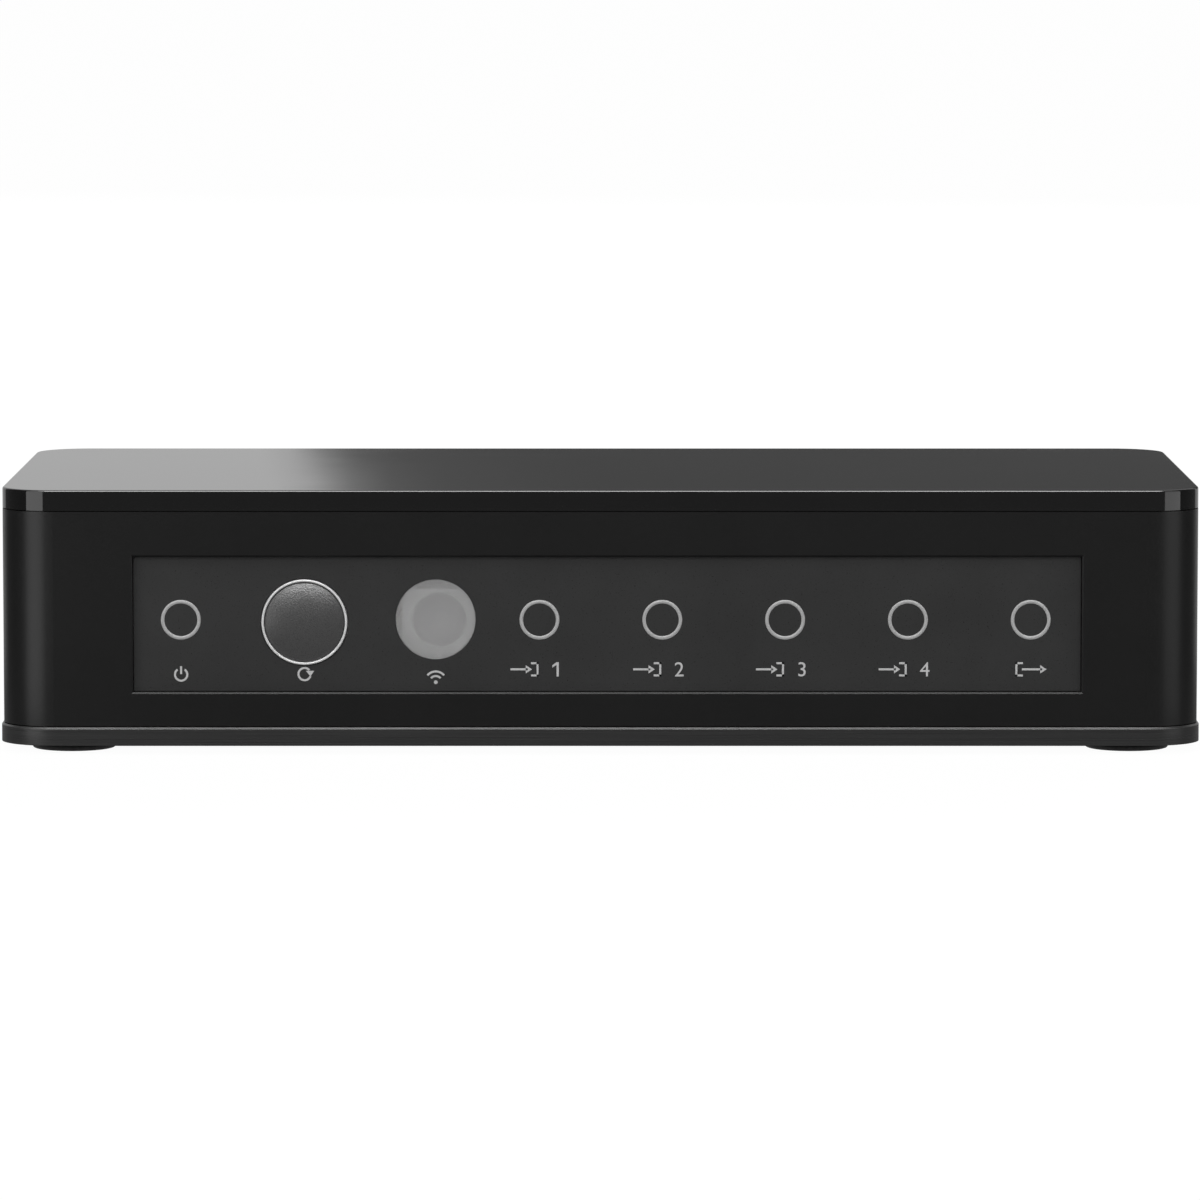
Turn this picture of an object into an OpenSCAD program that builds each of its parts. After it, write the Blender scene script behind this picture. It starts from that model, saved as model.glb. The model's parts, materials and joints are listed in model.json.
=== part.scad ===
// Video switch box: a low black case with four inputs and one output.
// X runs along the front from left to right, Y from front to back, Z up.
// The origin lies on the table under the middle of the case. Sizes are in millimetres.

/* [Case] */
// Width of the case wall across the front
case_w = 120; // [119:0.5:140]
// Depth of the case wall from front to back
case_d = 55; // [54:0.5:75]
// Corner radius of the wall seen from above
corner_r = 5.4; // [4.5:0.1:6.5]
// Height of the matt wall between base plate and cover
wall_h = 21.59; // [20.6:0.01:30]
// Thickness of the side and rear walls
wall_t = 2; // [1.6:0.1:2.4]
// Thickness of the front wall
front_t = 3; // [2.8:0.1:3.6]

/* [Cover] */
// Thickness of the glossy cover plate
cover_t = 2.06; // [1.5:0.02:3]
// Round along the upper edge of the cover
cover_round = 0.2; // [0.1:0.02:0.6]
// Height of the shadow gap between wall and cover
shadow_gap = 0.1; // [0.06:0.02:0.3]
// Depth of the shadow gaps above and below the wall
shadow_depth = 0.6; // [0.3:0.1:1]
// Height of the rim that locates the cover inside the wall
cover_rim_h = 3; // [2.6:0.1:3.6]
// Thickness of the rims of cover and base plate
rim_t = 1.2; // [1:0.1:1.5]
// Length of one snap of the cover
snap_w = 8; // [5:0.5:12]
// Reach of one snap out of the rim
snap_out = 0.55; // [0.4:0.05:0.7]
// Place of the front and rear snaps as a share of the case's width
snap_share = 0.25; // [0.2:0.01:0.32]
// Height of the stiffening ribs under the cover
cover_rib_h = 1.2; // [0.6:0.1:2]
// Place of the stiffening ribs as a share of the case's width
cover_rib_share = 0.15; // [0.08:0.01:0.2]

/* [Base plate] */
// Thickness of the base plate
base_t = 1.85; // [1.6:0.05:2.6]
// Reach of the base plate past the wall
base_step = 0.22; // [0.15:0.01:0.6]
// Width of the slope along the upper edge of the base plate
base_slope = 0.18; // [0.1:0.01:0.5]
// Height of the shadow gap between base plate and wall
base_gap = 0.1; // [0.06:0.02:0.2]
// Height of the rim that locates the base plate inside the wall
base_rim_h = 1.5; // [1.2:0.1:1.8]
// Height of the bosses around the case screws
boss_h = 1.7; // [1.6:0.1:2.2]
// Diameter of the bosses around the case screws
boss_d = 7.6; // [7:0.1:8.2]

/* [Feet] */
// Diameter of a foot
foot_d = 8.4; // [7:0.1:9.4]
// Height of the case above the table
foot_h = 0.9; // [0.6:0.1:2]
// Depth of the recess that holds a foot
foot_sink = 0.3; // [0.2:0.05:0.4]
// Distance of a foot's middle from the edges of the base plate
foot_inset = 7.15; // [6.6:0.05:7.4]
// Round along the lower edge of a foot
foot_round = 0.25; // [0.1:0.05:0.5]

/* [Front panel] */
// Wall on the left of the recess for the front panel
panel_left = 13.16; // [12:0.02:16]
// Wall on the right of the recess for the front panel
panel_right = 11.8; // [11.6:0.02:16]
// Height of the recess for the front panel
panel_h = 13.9; // [13:0.02:15]
// Thickness of the front panel
panel_t = 1; // [0.8:0.05:1.2]
// Depth of the panel's face behind the wall's face
panel_sink = 0.8; // [0.7:0.05:0.9]
// Height of the recess's lower edge above the base plate
panel_rise = 3.35; // [2.8:0.05:4]
// Slope along the rim of the recess
panel_slope = 0.15; // [0.05:0.05:0.3]

/* [Indicators] */
// Distance from the recess's left edge to the power indicator
led_left = 4.93; // [4:0.01:6]
// Distance from the output indicator to the recess's right edge
led_right = 5.22; // [4:0.01:6]
// Step between the input indicators as a share of the row
led_share = 0.1445; // [0.138:0.0005:0.148]
// Height of the indicators above the recess's lower edge
led_rise = 7.37; // [7:0.01:8]
// Diameter of an indicator lamp
led_d = 3; // [2.4:0.1:3.2]
// Diameter of a lamp's flange
led_flange_d = 3.8; // [3.6:0.1:4]
// Thickness of a lamp's flange
led_flange_t = 1; // [0.6:0.1:1.2]
// Length of an indicator lamp
led_len = 5.4; // [5:0.1:6]
// Gap between a lamp's tip and the front wall
lamp_gap = 0.3; // [0.2:0.05:0.6]
// Diameter of the light hole behind the panel
light_hole_d = 3.4; // [3:0.1:4]
// Width of a lamp holder
holder_w = 4.8; // [4.6:0.1:5.6]
// Height of a lamp holder above the lamp's middle
holder_top = 2.6; // [2.4:0.1:3]
// Length of the holder's grip on a lamp
holder_grip = 2.5; // [2:0.1:2.8]
// Distance between the two leads of a lamp
led_lead_pitch = 2.54; // [2:0.02:2.6]
// Thickness of a component lead
lead_t = 0.5; // [0.4:0.05:0.6]

/* [Select button] */
// Place of the button as a share of the indicator row
button_share = 0.1454; // [0.138:0.0002:0.15]
// Height of the button above the recess's lower edge
button_rise = 7.14; // [6.8:0.02:7.6]
// Diameter of the button
button_d = 7.94; // [7.4:0.02:8.2]
// Height of the button's domed face
button_crown = 0.95; // [0.6:0.05:1.15]
// Depth of the domed face's rim behind the front of the bright ring
button_sink = 0.2; // [0.1:0.05:0.4]
// Travel of the button
button_travel = 0.4; // [0.3:0.05:0.5]
// Wall of the bright ring around the button
ring_t = 0.25; // [0.2:0.01:0.5]
// Reach of the bright ring out of the panel's face
ring_out = 0.25; // [0.1:0.05:0.4]
// Gap around the bright ring in the panel's face
ring_gap = 0.09; // [0.05:0.01:0.1]
// Diameter of the flanges that hold ring and button
keeper_d = 10.2; // [10:0.1:11]
// Thickness of the flanges that hold ring and window
keeper_t = 0.5; // [0.3:0.05:0.6]
// Thickness of the button's own flange
button_flange_t = 0.8; // [0.6:0.1:1]
// Diameter of the button's stem
stem_d = 3.2; // [2.6:0.1:4]
// Length of the button's stem
stem_len = 2.4; // [2:0.1:3]

/* [Push switch] */
// Width and height of the push switch
switch_w = 6; // [5.8:0.1:6.4]
// Thickness of the switch base
switch_t = 2.5; // [2.3:0.1:3.2]
// Thickness of the switch cover's sheet
switch_sheet = 0.3; // [0.2:0.05:0.4]
// Diameter of the plunger
plunger_d = 3.3; // [2.8:0.1:3.6]
// Reach of the pressed plunger out of the switch cover
plunger_rest = 0.6; // [0.4:0.1:1]
// Diameter of the plunger's flange
plunger_flange_d = 4.4; // [4.2:0.1:4.6]
// Thickness of the plunger's flange
plunger_flange_t = 0.5; // [0.4:0.05:0.6]
// Diameter of the switch chamber
chamber_d = 5; // [4.8:0.1:5.2]
// Height of the pressed snap dome
dome_flat = 0.2; // [0.15:0.05:0.3]
// Thickness of the snap dome
dome_t = 0.1; // [0.08:0.01:0.15]

/* [Infrared eye] */
// Place of the window as a share of the indicator row
window_share = 0.2998; // [0.298:0.0002:0.305]
// Height of the window above the recess's lower edge
window_rise = 7.43; // [7:0.01:8]
// Diameter of the window
window_d = 7.93; // [7.4:0.01:8.2]
// Diameter of the window's flange
window_flange_d = 9.4; // [9.2:0.1:9.8]
// Diameter of the sight hole behind the window
sight_hole_d = 8.5; // [8.2:0.1:8.7]
// Offset of the receiver from the window's middle
eye_offset = 0.25; // [0:0.05:0.4]
// Drop of the receiver's dome below the window's middle
eye_drop = 0.55; // [0:0.05:0.8]
// Diameter of the receiver's dome
eye_dome_d = 5.2; // [5:0.05:5.8]
// Width of the receiver's metal can
eye_w = 7.5; // [7.4:0.1:8]
// Height of the can above the dome's middle
eye_top = 3.1; // [3:0.05:3.6]
// Thickness of the receiver's body
eye_t = 2.6; // [2.2:0.1:3]
// Thickness of the can's sheet
eye_sheet = 0.3; // [0.2:0.05:0.4]
// Distance of the dome's tip behind the front wall
eye_gap = 1.1; // [0.8:0.1:1.6]
// Gap between the can and the board
eye_lift = 0.6; // [0.4:0.1:1]

/* [Circuit board] */
// Height of the stand-offs under the board
standoff_h = 4.6; // [4:0.1:5]
// Diameter of the stand-offs
standoff_d = 5; // [4.6:0.1:6]
// Thickness of the board
board_t = 1.6; // [1.2:0.1:1.8]
// Gap between the board and the side walls
board_side_gap = 3.4; // [3:0.1:4]
// Gap between the board and the front wall
board_front_gap = 2; // [1.8:0.1:2.2]
// Gap between the board and the rear panel
board_rear_gap = 0.5; // [0.4:0.1:0.8]
// Distance of the board screws from the board's side edges
board_screw_side = 6.6; // [6:0.1:7.5]
// Distance of the front board screws from the board's front edge
board_screw_front = 12; // [11:0.5:14]
// Distance of the rear board screws from the board's rear edge
board_screw_rear = 16; // [15:0.5:18]
// Edge length of the switching chip
chip_w = 10; // [8:0.5:12]
// Thickness of the switching chip
chip_t = 0.9; // [0.8:0.1:1.2]
// Diameter of a smoothing capacitor
cap_d = 6.3; // [5:0.1:6.6]
// Height of a smoothing capacitor
cap_h = 7.7; // [5.4:0.1:9]
// Distance between the two smoothing capacitors
cap_pitch = 9; // [8:0.5:10]
// Edge length of the control chip
control_w = 5; // [4:0.5:7]
// Thickness of the control chip
control_t = 1.2; // [0.8:0.1:1.6]
// Diameter of the dimple at a chip's first corner
mark_d = 0.8; // [0.5:0.1:1]
// Depth of the dimple at a chip's first corner
mark_depth = 0.15; // [0.1:0.05:0.3]
// Length of the regulator
regulator_w = 6.5; // [6:0.1:7]
// Depth of the regulator
regulator_d = 3.5; // [3.2:0.1:4]
// Height of the regulator
regulator_h = 1.6; // [1.4:0.1:1.9]
// Width of a regulator lead
regulator_lead_w = 0.8; // [0.6:0.1:1]
// Length of a regulator lead
regulator_lead_l = 1.8; // [1.4:0.1:2.2]
// Thickness of a regulator lead
regulator_lead_t = 0.4; // [0.3:0.05:0.5]
// Distance between the regulator leads
regulator_pitch = 2.4; // [2.2:0.1:2.6]
// Width of the crystal can
crystal_w = 4.6; // [4:0.1:5]
// Distance between the round ends of the crystal can
crystal_l = 6.4; // [5:0.1:7]
// Height of the crystal can
crystal_h = 3.5; // [2.5:0.1:4]
// Clearance of the board's notches round the screw posts
notch_fit = 0.6; // [0.4:0.1:0.8]

/* [Video sockets] */
// Distance of the first socket's opening from the edge of the rear opening
socket_end = 3.2; // [2.8:0.1:4]
// Width of the socket's opening
socket_w = 14; // [13.8:0.05:14.2]
// Height of the socket's opening
socket_h = 4.55; // [4.4:0.05:4.7]
// Width of the slope at the opening's lower corners
socket_slope_w = 2; // [1.6:0.1:2.2]
// Height of the slope at the opening's lower corners
socket_slope_h = 1.9; // [1.6:0.1:2.2]
// Thickness of the socket's sheet
socket_sheet = 0.3; // [0.2:0.05:0.4]
// Length of the socket
socket_len = 11.5; // [11:0.1:12]
// Depth of the socket's opening
socket_depth = 9; // [8.6:0.1:9.3]
// Reach of the sockets out of the rear panel
socket_out = 0.3; // [0.1:0.05:0.5]
// Width of the contact tongue
tongue_w = 11.2; // [10.8:0.1:11.6]
// Thickness of the contact tongue
tongue_t = 1.1; // [1:0.05:1.3]
// Distance of the tongue's tip behind the socket's mouth
tongue_back = 0.9; // [0.6:0.1:1.4]
// Distance between neighbouring contacts
contact_pitch = 1; // [0.95:0.01:1.05]
// Width of a contact
contact_w = 0.34; // [0.25:0.01:0.38]
// Thickness of a contact
contact_t = 0.12; // [0.1:0.01:0.2]
// Length of a contact's foot on the board
contact_foot_l = 1.2; // [1:0.1:1.4]
// Distance of the rear pair of legs behind the socket's mouth
leg_near = 4.5; // [4:0.1:5]
// Distance of the front pair of legs behind the socket's mouth
leg_far = 9.5; // [9:0.1:10]
// Width of a socket's leg
leg_w = 1.4; // [1:0.1:1.8]
// Width of a socket's spring tab
tab_w = 2.2; // [1.8:0.1:2.6]
// Length of a socket's spring tab
tab_l = 4.2; // [3.6:0.1:4.6]
// Width of the slot round a spring tab
tab_slot = 0.35; // [0.25:0.05:0.45]
// Distance of the spring tabs behind the socket's mouth
tab_back = 1.6; // [1.4:0.1:2]
// Distance of the spring tabs from the socket's middle
tab_x = 2.6; // [2.2:0.1:3]

/* [Power jack] */
// Distance of the jack body from the edge of the rear opening
jack_end = 2.9; // [2.6:0.1:3.4]
// Distance between the last socket's opening and the jack body
jack_gap = 2.1; // [1.8:0.1:2.6]
// Width of the jack body
jack_w = 9; // [8.6:0.1:9.2]
// Height of the jack body
jack_h = 10.4; // [10:0.1:11]
// Length of the jack body behind the rear panel
jack_len = 9.6; // [9.2:0.1:10.4]
// Height of the jack's axis above the board
jack_axis_h = 5.9; // [5.6:0.1:6]
// Diameter of the jack's nose in the rear panel
jack_nose_d = 8.2; // [8:0.1:8.6]
// Diameter of the jack's bore
jack_bore_d = 6.3; // [6:0.1:6.4]
// Depth of the jack's bore
jack_bore_l = 9.5; // [9:0.1:10]
// Diameter of the jack's pin
jack_pin_d = 2; // [1.6:0.1:2.5]
// Distance of the pin's tip behind the rear panel's face
jack_pin_back = 0.8; // [0.5:0.1:1.5]
// Width of the jack's tails in the board
jack_tail_w = 1.2; // [1:0.1:1.4]
// Thickness of the jack's contact spring
spring_t = 0.3; // [0.2:0.05:0.4]
// Width of the jack's contact spring
spring_w = 2.4; // [2:0.1:2.8]

/* [Rear panel] */
// Wall beside the opening in the rear wall
rear_side = 8; // [7:0.1:9]
// Depth of the rear panel's face behind the rear wall's face
rear_sink = 0.8; // [0.5:0.1:1]
// Thickness of the rear panel's flange
rear_flange_t = 1; // [0.8:0.1:1.2]
// Overlap of the flange behind the rear wall
rear_overlap = 0.9; // [0.7:0.1:1]

/* [Screws] */
// Diameter of a case screw
case_screw_d = 2.4; // [2:0.1:2.6]
// Length of a case screw below its head
case_screw_l = 8; // [6:0.5:9]
// Diameter of a case screw's head
case_head_d = 4.6; // [4.2:0.1:5]
// Height of a case screw's head
case_head_h = 1.6; // [1.2:0.1:1.7]
// Diameter of the posts that take the case screws
post_d = 5.6; // [5.4:0.1:5.8]
// Height of the posts that take the case screws
post_h = 12; // [11:0.5:13]
// Thickness of the ribs that tie the posts to the wall
post_rib_t = 1.2; // [1:0.1:1.6]
// Diameter of a board screw
board_screw_d = 1.9; // [1.6:0.1:2.2]
// Length of a board screw below its head
board_screw_l = 5; // [4:0.5:5.5]
// Diameter of a board screw's head
board_head_d = 4.2; // [3.6:0.1:4.4]
// Height of a board screw's head
board_head_h = 1.4; // [1:0.1:1.8]
// Width of the cross slot in a screw head
slot_w = 0.6; // [0.4:0.05:0.8]

/* [Fits] */
// Side clearance of rims, plates and feet that drop into place
drop_fit = 0.15; // [0.1:0.01:0.2]
// Radial clearance of the button and the plunger
slide_fit = 0.07; // [0.05:0.01:0.1]
// Side clearance of the front panel in its recess and of the window in the panel
trim_fit = 0.04; // [0.03:0.01:0.06]
// Gap between faces that meet without binding
face_gap = 0.05; // [0.03:0.01:0.08]
// Side clearance of leads and legs in the board
lead_fit = 0.2; // [0.15:0.05:0.25]
// Radial clearance of screws in their pilot holes
screw_fit = 0.05; // [0.03:0.01:0.08]

/* [Hidden] */
$fn = 64;
// Reach of a cut past the face it opens, and of a rib into the wall that carries it
cut = 0.5;
// Contacts in the upper and lower row of a socket
upper_contacts = 10;
lower_contacts = 9;
lamp_names = ["power", "input_1", "input_2", "input_3", "input_4", "output"];
socket_names = ["input_1", "input_2", "input_3", "input_4", "output"];
foot_names = ["front_left", "front_right", "rear_left", "rear_right"];
foot_sides = [[-1, -1], [1, -1], [-1, 1], [1, 1]];

// Levels from the table up
base_z0 = foot_h;
base_z1 = base_z0 + base_t;
wall_z1 = base_z1 + wall_h;
cover_z0 = wall_z1 + shadow_gap;
boss_z1 = base_z1 + boss_h;
post_z0 = boss_z1 + face_gap;
post_z1 = post_z0 + post_h;
board_z0 = base_z1 + standoff_h;
board_z1 = board_z0 + board_t;
panel_z0 = base_z1 + panel_rise;
panel_z1 = panel_z0 + panel_h;
plate_inset = panel_slope + trim_fit;
led_z = panel_z0 + led_rise;
button_z = panel_z0 + button_rise;
window_z = panel_z0 + window_rise;
eye_z = window_z - eye_drop;
eye_z0 = board_z1 + eye_lift;

// Faces from front to back
front_y = -case_d / 2;
rear_y = case_d / 2;
inner_front = front_y + front_t;
inner_rear = rear_y - wall_t;
panel_y0 = front_y + panel_sink;
panel_y1 = panel_y0 + panel_t;
keeper_y1 = panel_y1 + keeper_t;
rear_face_y = rear_y - rear_sink;
flange_y0 = inner_rear - rear_flange_t;
board_y0 = inner_front + board_front_gap;
board_y1 = flange_y0 - board_rear_gap;
mouth_y = rear_face_y + socket_out;

// Row across the front, from the power indicator to the output indicator
panel_x0 = panel_left - case_w / 2;
panel_x1 = case_w / 2 - panel_right;
row_x0 = panel_x0 + led_left;
row_x1 = panel_x1 - led_right;
row_w = row_x1 - row_x0;
led_pitch = led_share * row_w;
button_x = row_x0 + button_share * row_w;
window_x = row_x0 + window_share * row_w;
eye_x = window_x + eye_offset;

// Plan sizes
snap_x = snap_share * case_w;
cover_rib_x = cover_rib_share * case_w;
cavity_w = case_w - 2 * wall_t;
cavity_d = case_d - front_t - wall_t;
cavity_y = (front_t - wall_t) / 2;
cavity_r = corner_r - wall_t;
foot_x = case_w / 2 + base_step - foot_inset;
foot_y = case_d / 2 + base_step - foot_inset;
board_w = cavity_w - 2 * board_side_gap;
board_screw_x = board_w / 2 - board_screw_side;
notch_x = foot_x - post_d / 2 - notch_fit;
notch_y = foot_y - post_d / 2 - notch_fit;

// Button and switch, one behind the other
ring_bore_d = button_d + 2 * slide_fit;
ring_d = ring_bore_d + 2 * ring_t;
ring_y0 = panel_y0 - ring_out;
button_rim_y = ring_y0 + button_sink;
crown_r = (pow(button_d / 2, 2) + pow(button_crown, 2)) / (2 * button_crown);
button_flange_y0 = inner_front + 2 * face_gap;
button_flange_y1 = button_flange_y0 + button_flange_t;
stem_y1 = button_flange_y1 + stem_len;
plunger_y0 = stem_y1 + face_gap;
switch_y0 = plunger_y0 + plunger_rest + button_travel;
switch_y1 = switch_y0 + switch_sheet;
switch_y2 = switch_y1 + switch_t;
switch_z0 = button_z - switch_w / 2;
plunger_y2 = switch_y1 + face_gap + plunger_flange_t;
dome_tip_y = plunger_y2 + face_gap;
dome_h = dome_flat + button_travel;
chamber_y1 = dome_tip_y + dome_h;
switch_leg_x = switch_w / 2 + face_gap;
switch_pin_x = switch_w / 2 - 2 * lead_t;
dome_rim_r = plunger_flange_d / 2;
dome_r = (pow(dome_rim_r, 2) + pow(dome_h, 2)) / (2 * dome_h);

// Lamps and their holders
led_x = concat([row_x0], [for (i = [4 : -1 : 0]) row_x1 - i * led_pitch]);
led_tip_y = inner_front + lamp_gap;
led_y1 = led_tip_y + led_len;
led_flange_y = led_y1 - led_flange_t;
holder_y0 = led_flange_y - holder_grip;
holder_y1 = led_y1 + lead_t;
led_lead_y = holder_y1 + 2 * face_gap;
lead_z0 = board_z0 - 2 * lead_t;

// Receiver behind the window
eye_y = inner_front + eye_gap + eye_dome_d / 2;
eye_half = eye_w / 2 - eye_sheet - face_gap;
eye_y1 = eye_y + eye_t;

// Rear row, spread between the edge of the opening and the power jack
rear_open_w = case_w - 2 * rear_side;
jack_x = rear_open_w / 2 - jack_end - jack_w / 2;
socket_first_x = socket_end + socket_w / 2 - rear_open_w / 2;
socket_last_x = jack_x - jack_w / 2 - jack_gap - socket_w / 2;
socket_pitch = (socket_last_x - socket_first_x) / (len(socket_names) - 1);
socket_x = [for (i = [0 : len(socket_names) - 1]) socket_first_x + i * socket_pitch];
socket_leg_y = [mouth_y - leg_near, mouth_y - leg_far];
socket_z = board_z1 + socket_sheet;
socket_y0 = mouth_y - socket_len;
tongue_z0 = (socket_h - tongue_t) / 2;
tongue_z1 = (socket_h + tongue_t) / 2;
contact_rows = [[tongue_z1, upper_contacts], [tongue_z0 - contact_t, lower_contacts]];
contact_tip_y = mouth_y - 2 * tongue_back;
contact_drop_y = socket_y0 - face_gap;
jack_z = board_z1 + jack_axis_h;
jack_y0 = board_y1 - jack_len;
jack_floor_y = rear_face_y - jack_bore_l;
pin_tail_y = jack_y0 - lead_t;
spring_tail_y = jack_y0 - 3 * lead_t;
spring_z = jack_z + jack_bore_d / 2 + face_gap;
jack_hole_d = jack_nose_d + 2 * drop_fit;
rear_flange_z1 = wall_z1 - cover_rim_h - 2 * drop_fit;
rear_open_z1 = rear_flange_z1 - rear_overlap;
rear_flange_w = cavity_w - 2 * (cavity_r + drop_fit);

// Snaps of the cover
snap_z = wall_z1 - cover_rim_h / 2;
snap_rise = snap_out;

// Larger parts on the board, set out in steps across its width
board_step = board_w / 12;
chip_at = [0, -1];
control_at = [-3 * board_step, -2];
crystal_at = [-1.5 * board_step, 3];
cap_at = [for (s = [-1, 1]) [2 * board_step, s * cap_pitch / 2]];
regulator_at = [3.75 * board_step, -2];

// Screws
case_seat_z = base_z0 + foot_sink + case_head_h + 2 * drop_fit;
board_screw_y = [board_y0 + board_screw_front, board_y1 - board_screw_rear];

// Rounded rectangle seen from above
module plan(w, d, r) {
    square([w - 2 * r, d], center = true);
    square([w, d - 2 * r], center = true);
    for (x = [-1, 1], y = [-1, 1])
        translate([x * (w / 2 - r), y * (d / 2 - r)])
            circle(r);
}

// Upright prism with a rounded outline from z0 to z1
module slab(w, d, r, z0, z1) {
    translate([0, 0, z0])
        linear_extrude(z1 - z0)
            plan(w, d, r);
}

// Ring that follows the inside of the wall, from z0 to z1
module inner_rim(z0, z1) {
    translate([0, cavity_y, 0])
        difference() {
            slab(cavity_w - 2 * drop_fit, cavity_d - 2 * drop_fit, cavity_r - drop_fit, z0, z1);
            slab(cavity_w - 2 * (drop_fit + rim_t), cavity_d - 2 * (drop_fit + rim_t),
                cavity_r - drop_fit - rim_t, z0 - cut, z1 + cut);
        }
}

// Groove around the outside of the wall, from z0 to z1
module outer_groove(z0, z1) {
    difference() {
        slab(case_w + 2 * cut, case_d + 2 * cut, corner_r + cut, z0, z1);
        slab(case_w - 2 * shadow_depth, case_d - 2 * shadow_depth, corner_r - shadow_depth,
            z0 - cut, z1 + cut);
    }
}

// Outline drawn in X and Z, pushed from y0 to y1
module along_y(y0, y1) {
    translate([0, y1, 0])
        rotate([90, 0, 0])
            linear_extrude(y1 - y0)
                children();
}

// Round bar along Y from y0 to y1
module rod_y(d, x, z, y0, y1) {
    translate([x, y1, z])
        rotate([90, 0, 0])
            cylinder(h = y1 - y0, d = d);
}

// Box given by its lower and upper corner
module block(a, b) {
    translate(a)
        cube(b - a);
}

// Half section of a plate with a rounded upper edge, from its middle to its rim
module round_section(reach, h, edge) {
    square([reach, h - edge]);
    square([reach - edge, h]);
    translate([reach - edge, h - edge])
        circle(edge);
}

// Half section of a plate with a sloped upper edge, from its middle to its rim
module slope_section(reach, h, edge) {
    polygon([[0, 0], [reach, 0], [reach, h - edge], [reach - edge, h], [0, h]]);
}

// Plate with a rounded outline whose rim follows the section given as children.
// Child 0 spans the depth, child 1 the width and child 2 one corner.
module rimmed_plate(w, d, r, z0) {
    translate([0, 0, z0]) {
        rotate([90, 0, 90])
            linear_extrude(w - 2 * r, center = true) {
                children(0);
                mirror([1, 0]) children(0);
            }
        rotate([90, 0, 0])
            linear_extrude(d - 2 * r, center = true) {
                children(1);
                mirror([1, 0]) children(1);
            }
        for (x = [0, 1], y = [0, 1])
            mirror([x, 0, 0])
                mirror([0, y, 0])
                    translate([w / 2 - r, d / 2 - r, 0])
                        rotate_extrude(angle = 90)
                            children(2);
    }
}

// Places the children at the four case screws
module at_screws() {
    for (s = foot_sides)
        translate([s[0] * foot_x, s[1] * foot_y, 0])
            children();
}

// Places the children at the four board screws
module at_board_screws() {
    for (x = [-1, 1], y = board_screw_y)
        translate([x * board_screw_x, y, 0])
            children();
}

// Places the children at the six snaps, with the rim's outer face at Y = 0 and outside at +Y
module at_snaps() {
    for (x = [-1, 1]) {
        translate([x * snap_x, inner_rear - drop_fit, 0]) children();
        translate([x * snap_x, inner_front + drop_fit, 0]) rotate([0, 0, 180]) children();
        translate([x * (cavity_w / 2 - drop_fit), 0, 0]) rotate([0, 0, -x * 90]) children();
    }
}

// Post for a case screw with its two ribs
module post(side) {
    x = side[0] * foot_x;
    y = side[1] * foot_y;
    stop_y = side[1] < 0 ? inner_front - cut : flange_y0 - face_gap;
    wall_x = side[0] * (cavity_w / 2 + cut);
    translate([x, y, post_z0])
        cylinder(h = post_h, d = post_d);
    block([min(x, wall_x), y - post_rib_t / 2, post_z0], [max(x, wall_x), y + post_rib_t / 2, post_z1]);
    block([x - post_rib_t / 2, min(y, stop_y), post_z0], [x + post_rib_t / 2, max(y, stop_y), post_z1]);
}

// Recess for the front panel with a sloped rim
module panel_recess() {
    x0 = panel_x0 + panel_slope;
    x1 = panel_x1 - panel_slope;
    z0 = panel_z0 + panel_slope;
    z1 = panel_z1 - panel_slope;
    y0 = front_y - cut;
    y1 = front_y + panel_slope;
    grow = panel_slope + cut;
    block([x0, y0, z0], [x1, panel_y1, z1]);
    intersection() {
        translate([0, 0, z0 - grow])
            linear_extrude(z1 - z0 + 2 * grow)
                polygon([[x0 - grow, y0], [x1 + grow, y0], [x1, y1], [x0, y1]]);
        translate([x0 - grow, 0, 0])
            rotate([90, 0, 90])
                linear_extrude(x1 - x0 + 2 * grow)
                    polygon([[y0, z0 - grow], [y0, z1 + grow], [y1, z1], [y1, z0]]);
    }
}

// Solid turned about an axis along Y; the outline is drawn in radius and Y
module turned_y(x, z) {
    translate([x, 0, z])
        rotate([-90, 0, 0])
            rotate_extrude()
                children();
}

// Outline of a video socket's opening, grown outwards by g
function socket_side(g, l) = [
    [socket_w / 2 + g, socket_h + g],
    [socket_w / 2 + g, socket_slope_h - g * (l - socket_slope_h) / socket_slope_w],
    [socket_w / 2 - socket_slope_w + g * (l - socket_slope_w) / socket_slope_h, -g]
];
module socket_outline(g) {
    right = socket_side(g, norm([socket_slope_w, socket_slope_h]));
    polygon(concat(right, [for (i = [2 : -1 : 0]) [-right[i][0], right[i][1]]]));
}

// U-shaped slot that frees one spring tab, cut through from z0 to z1
module tab_slots(z0, z1) {
    y1 = mouth_y - tab_back;
    y0 = y1 - tab_l;
    for (x = [-1, 1]) {
        left = x * tab_x - tab_w / 2;
        right = x * tab_x + tab_w / 2;
        block([left, y0, z0], [left + tab_slot, y1, z1]);
        block([right - tab_slot, y0, z0], [right, y1, z1]);
        block([left, y0, z0], [right, y0 + tab_slot, z1]);
    }
}

// Vertical legs of one socket, widened by g
module socket_legs(g, z0, z1) {
    for (x = [0, 1], y = socket_leg_y)
        mirror([x, 0, 0])
            block([socket_w / 2 - g, y - leg_w / 2 - g, z0],
                [socket_w / 2 + socket_sheet + g, y + leg_w / 2 + g, z1]);
}

// Leads of one lamp in plan, widened by g
module lamp_lead_plan(x, g) {
    for (s = [-1, 1])
        translate([x + s * led_lead_pitch / 2, led_lead_y + lead_t / 2])
            square(lead_t + 2 * g, center = true);
}

// Leads of the receiver in plan, widened by g
module eye_lead_plan(g) {
    for (i = [-1 : 1])
        translate([eye_x + i * led_lead_pitch, (eye_y + eye_y1) / 2])
            square(lead_t + 2 * g, center = true);
}

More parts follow.
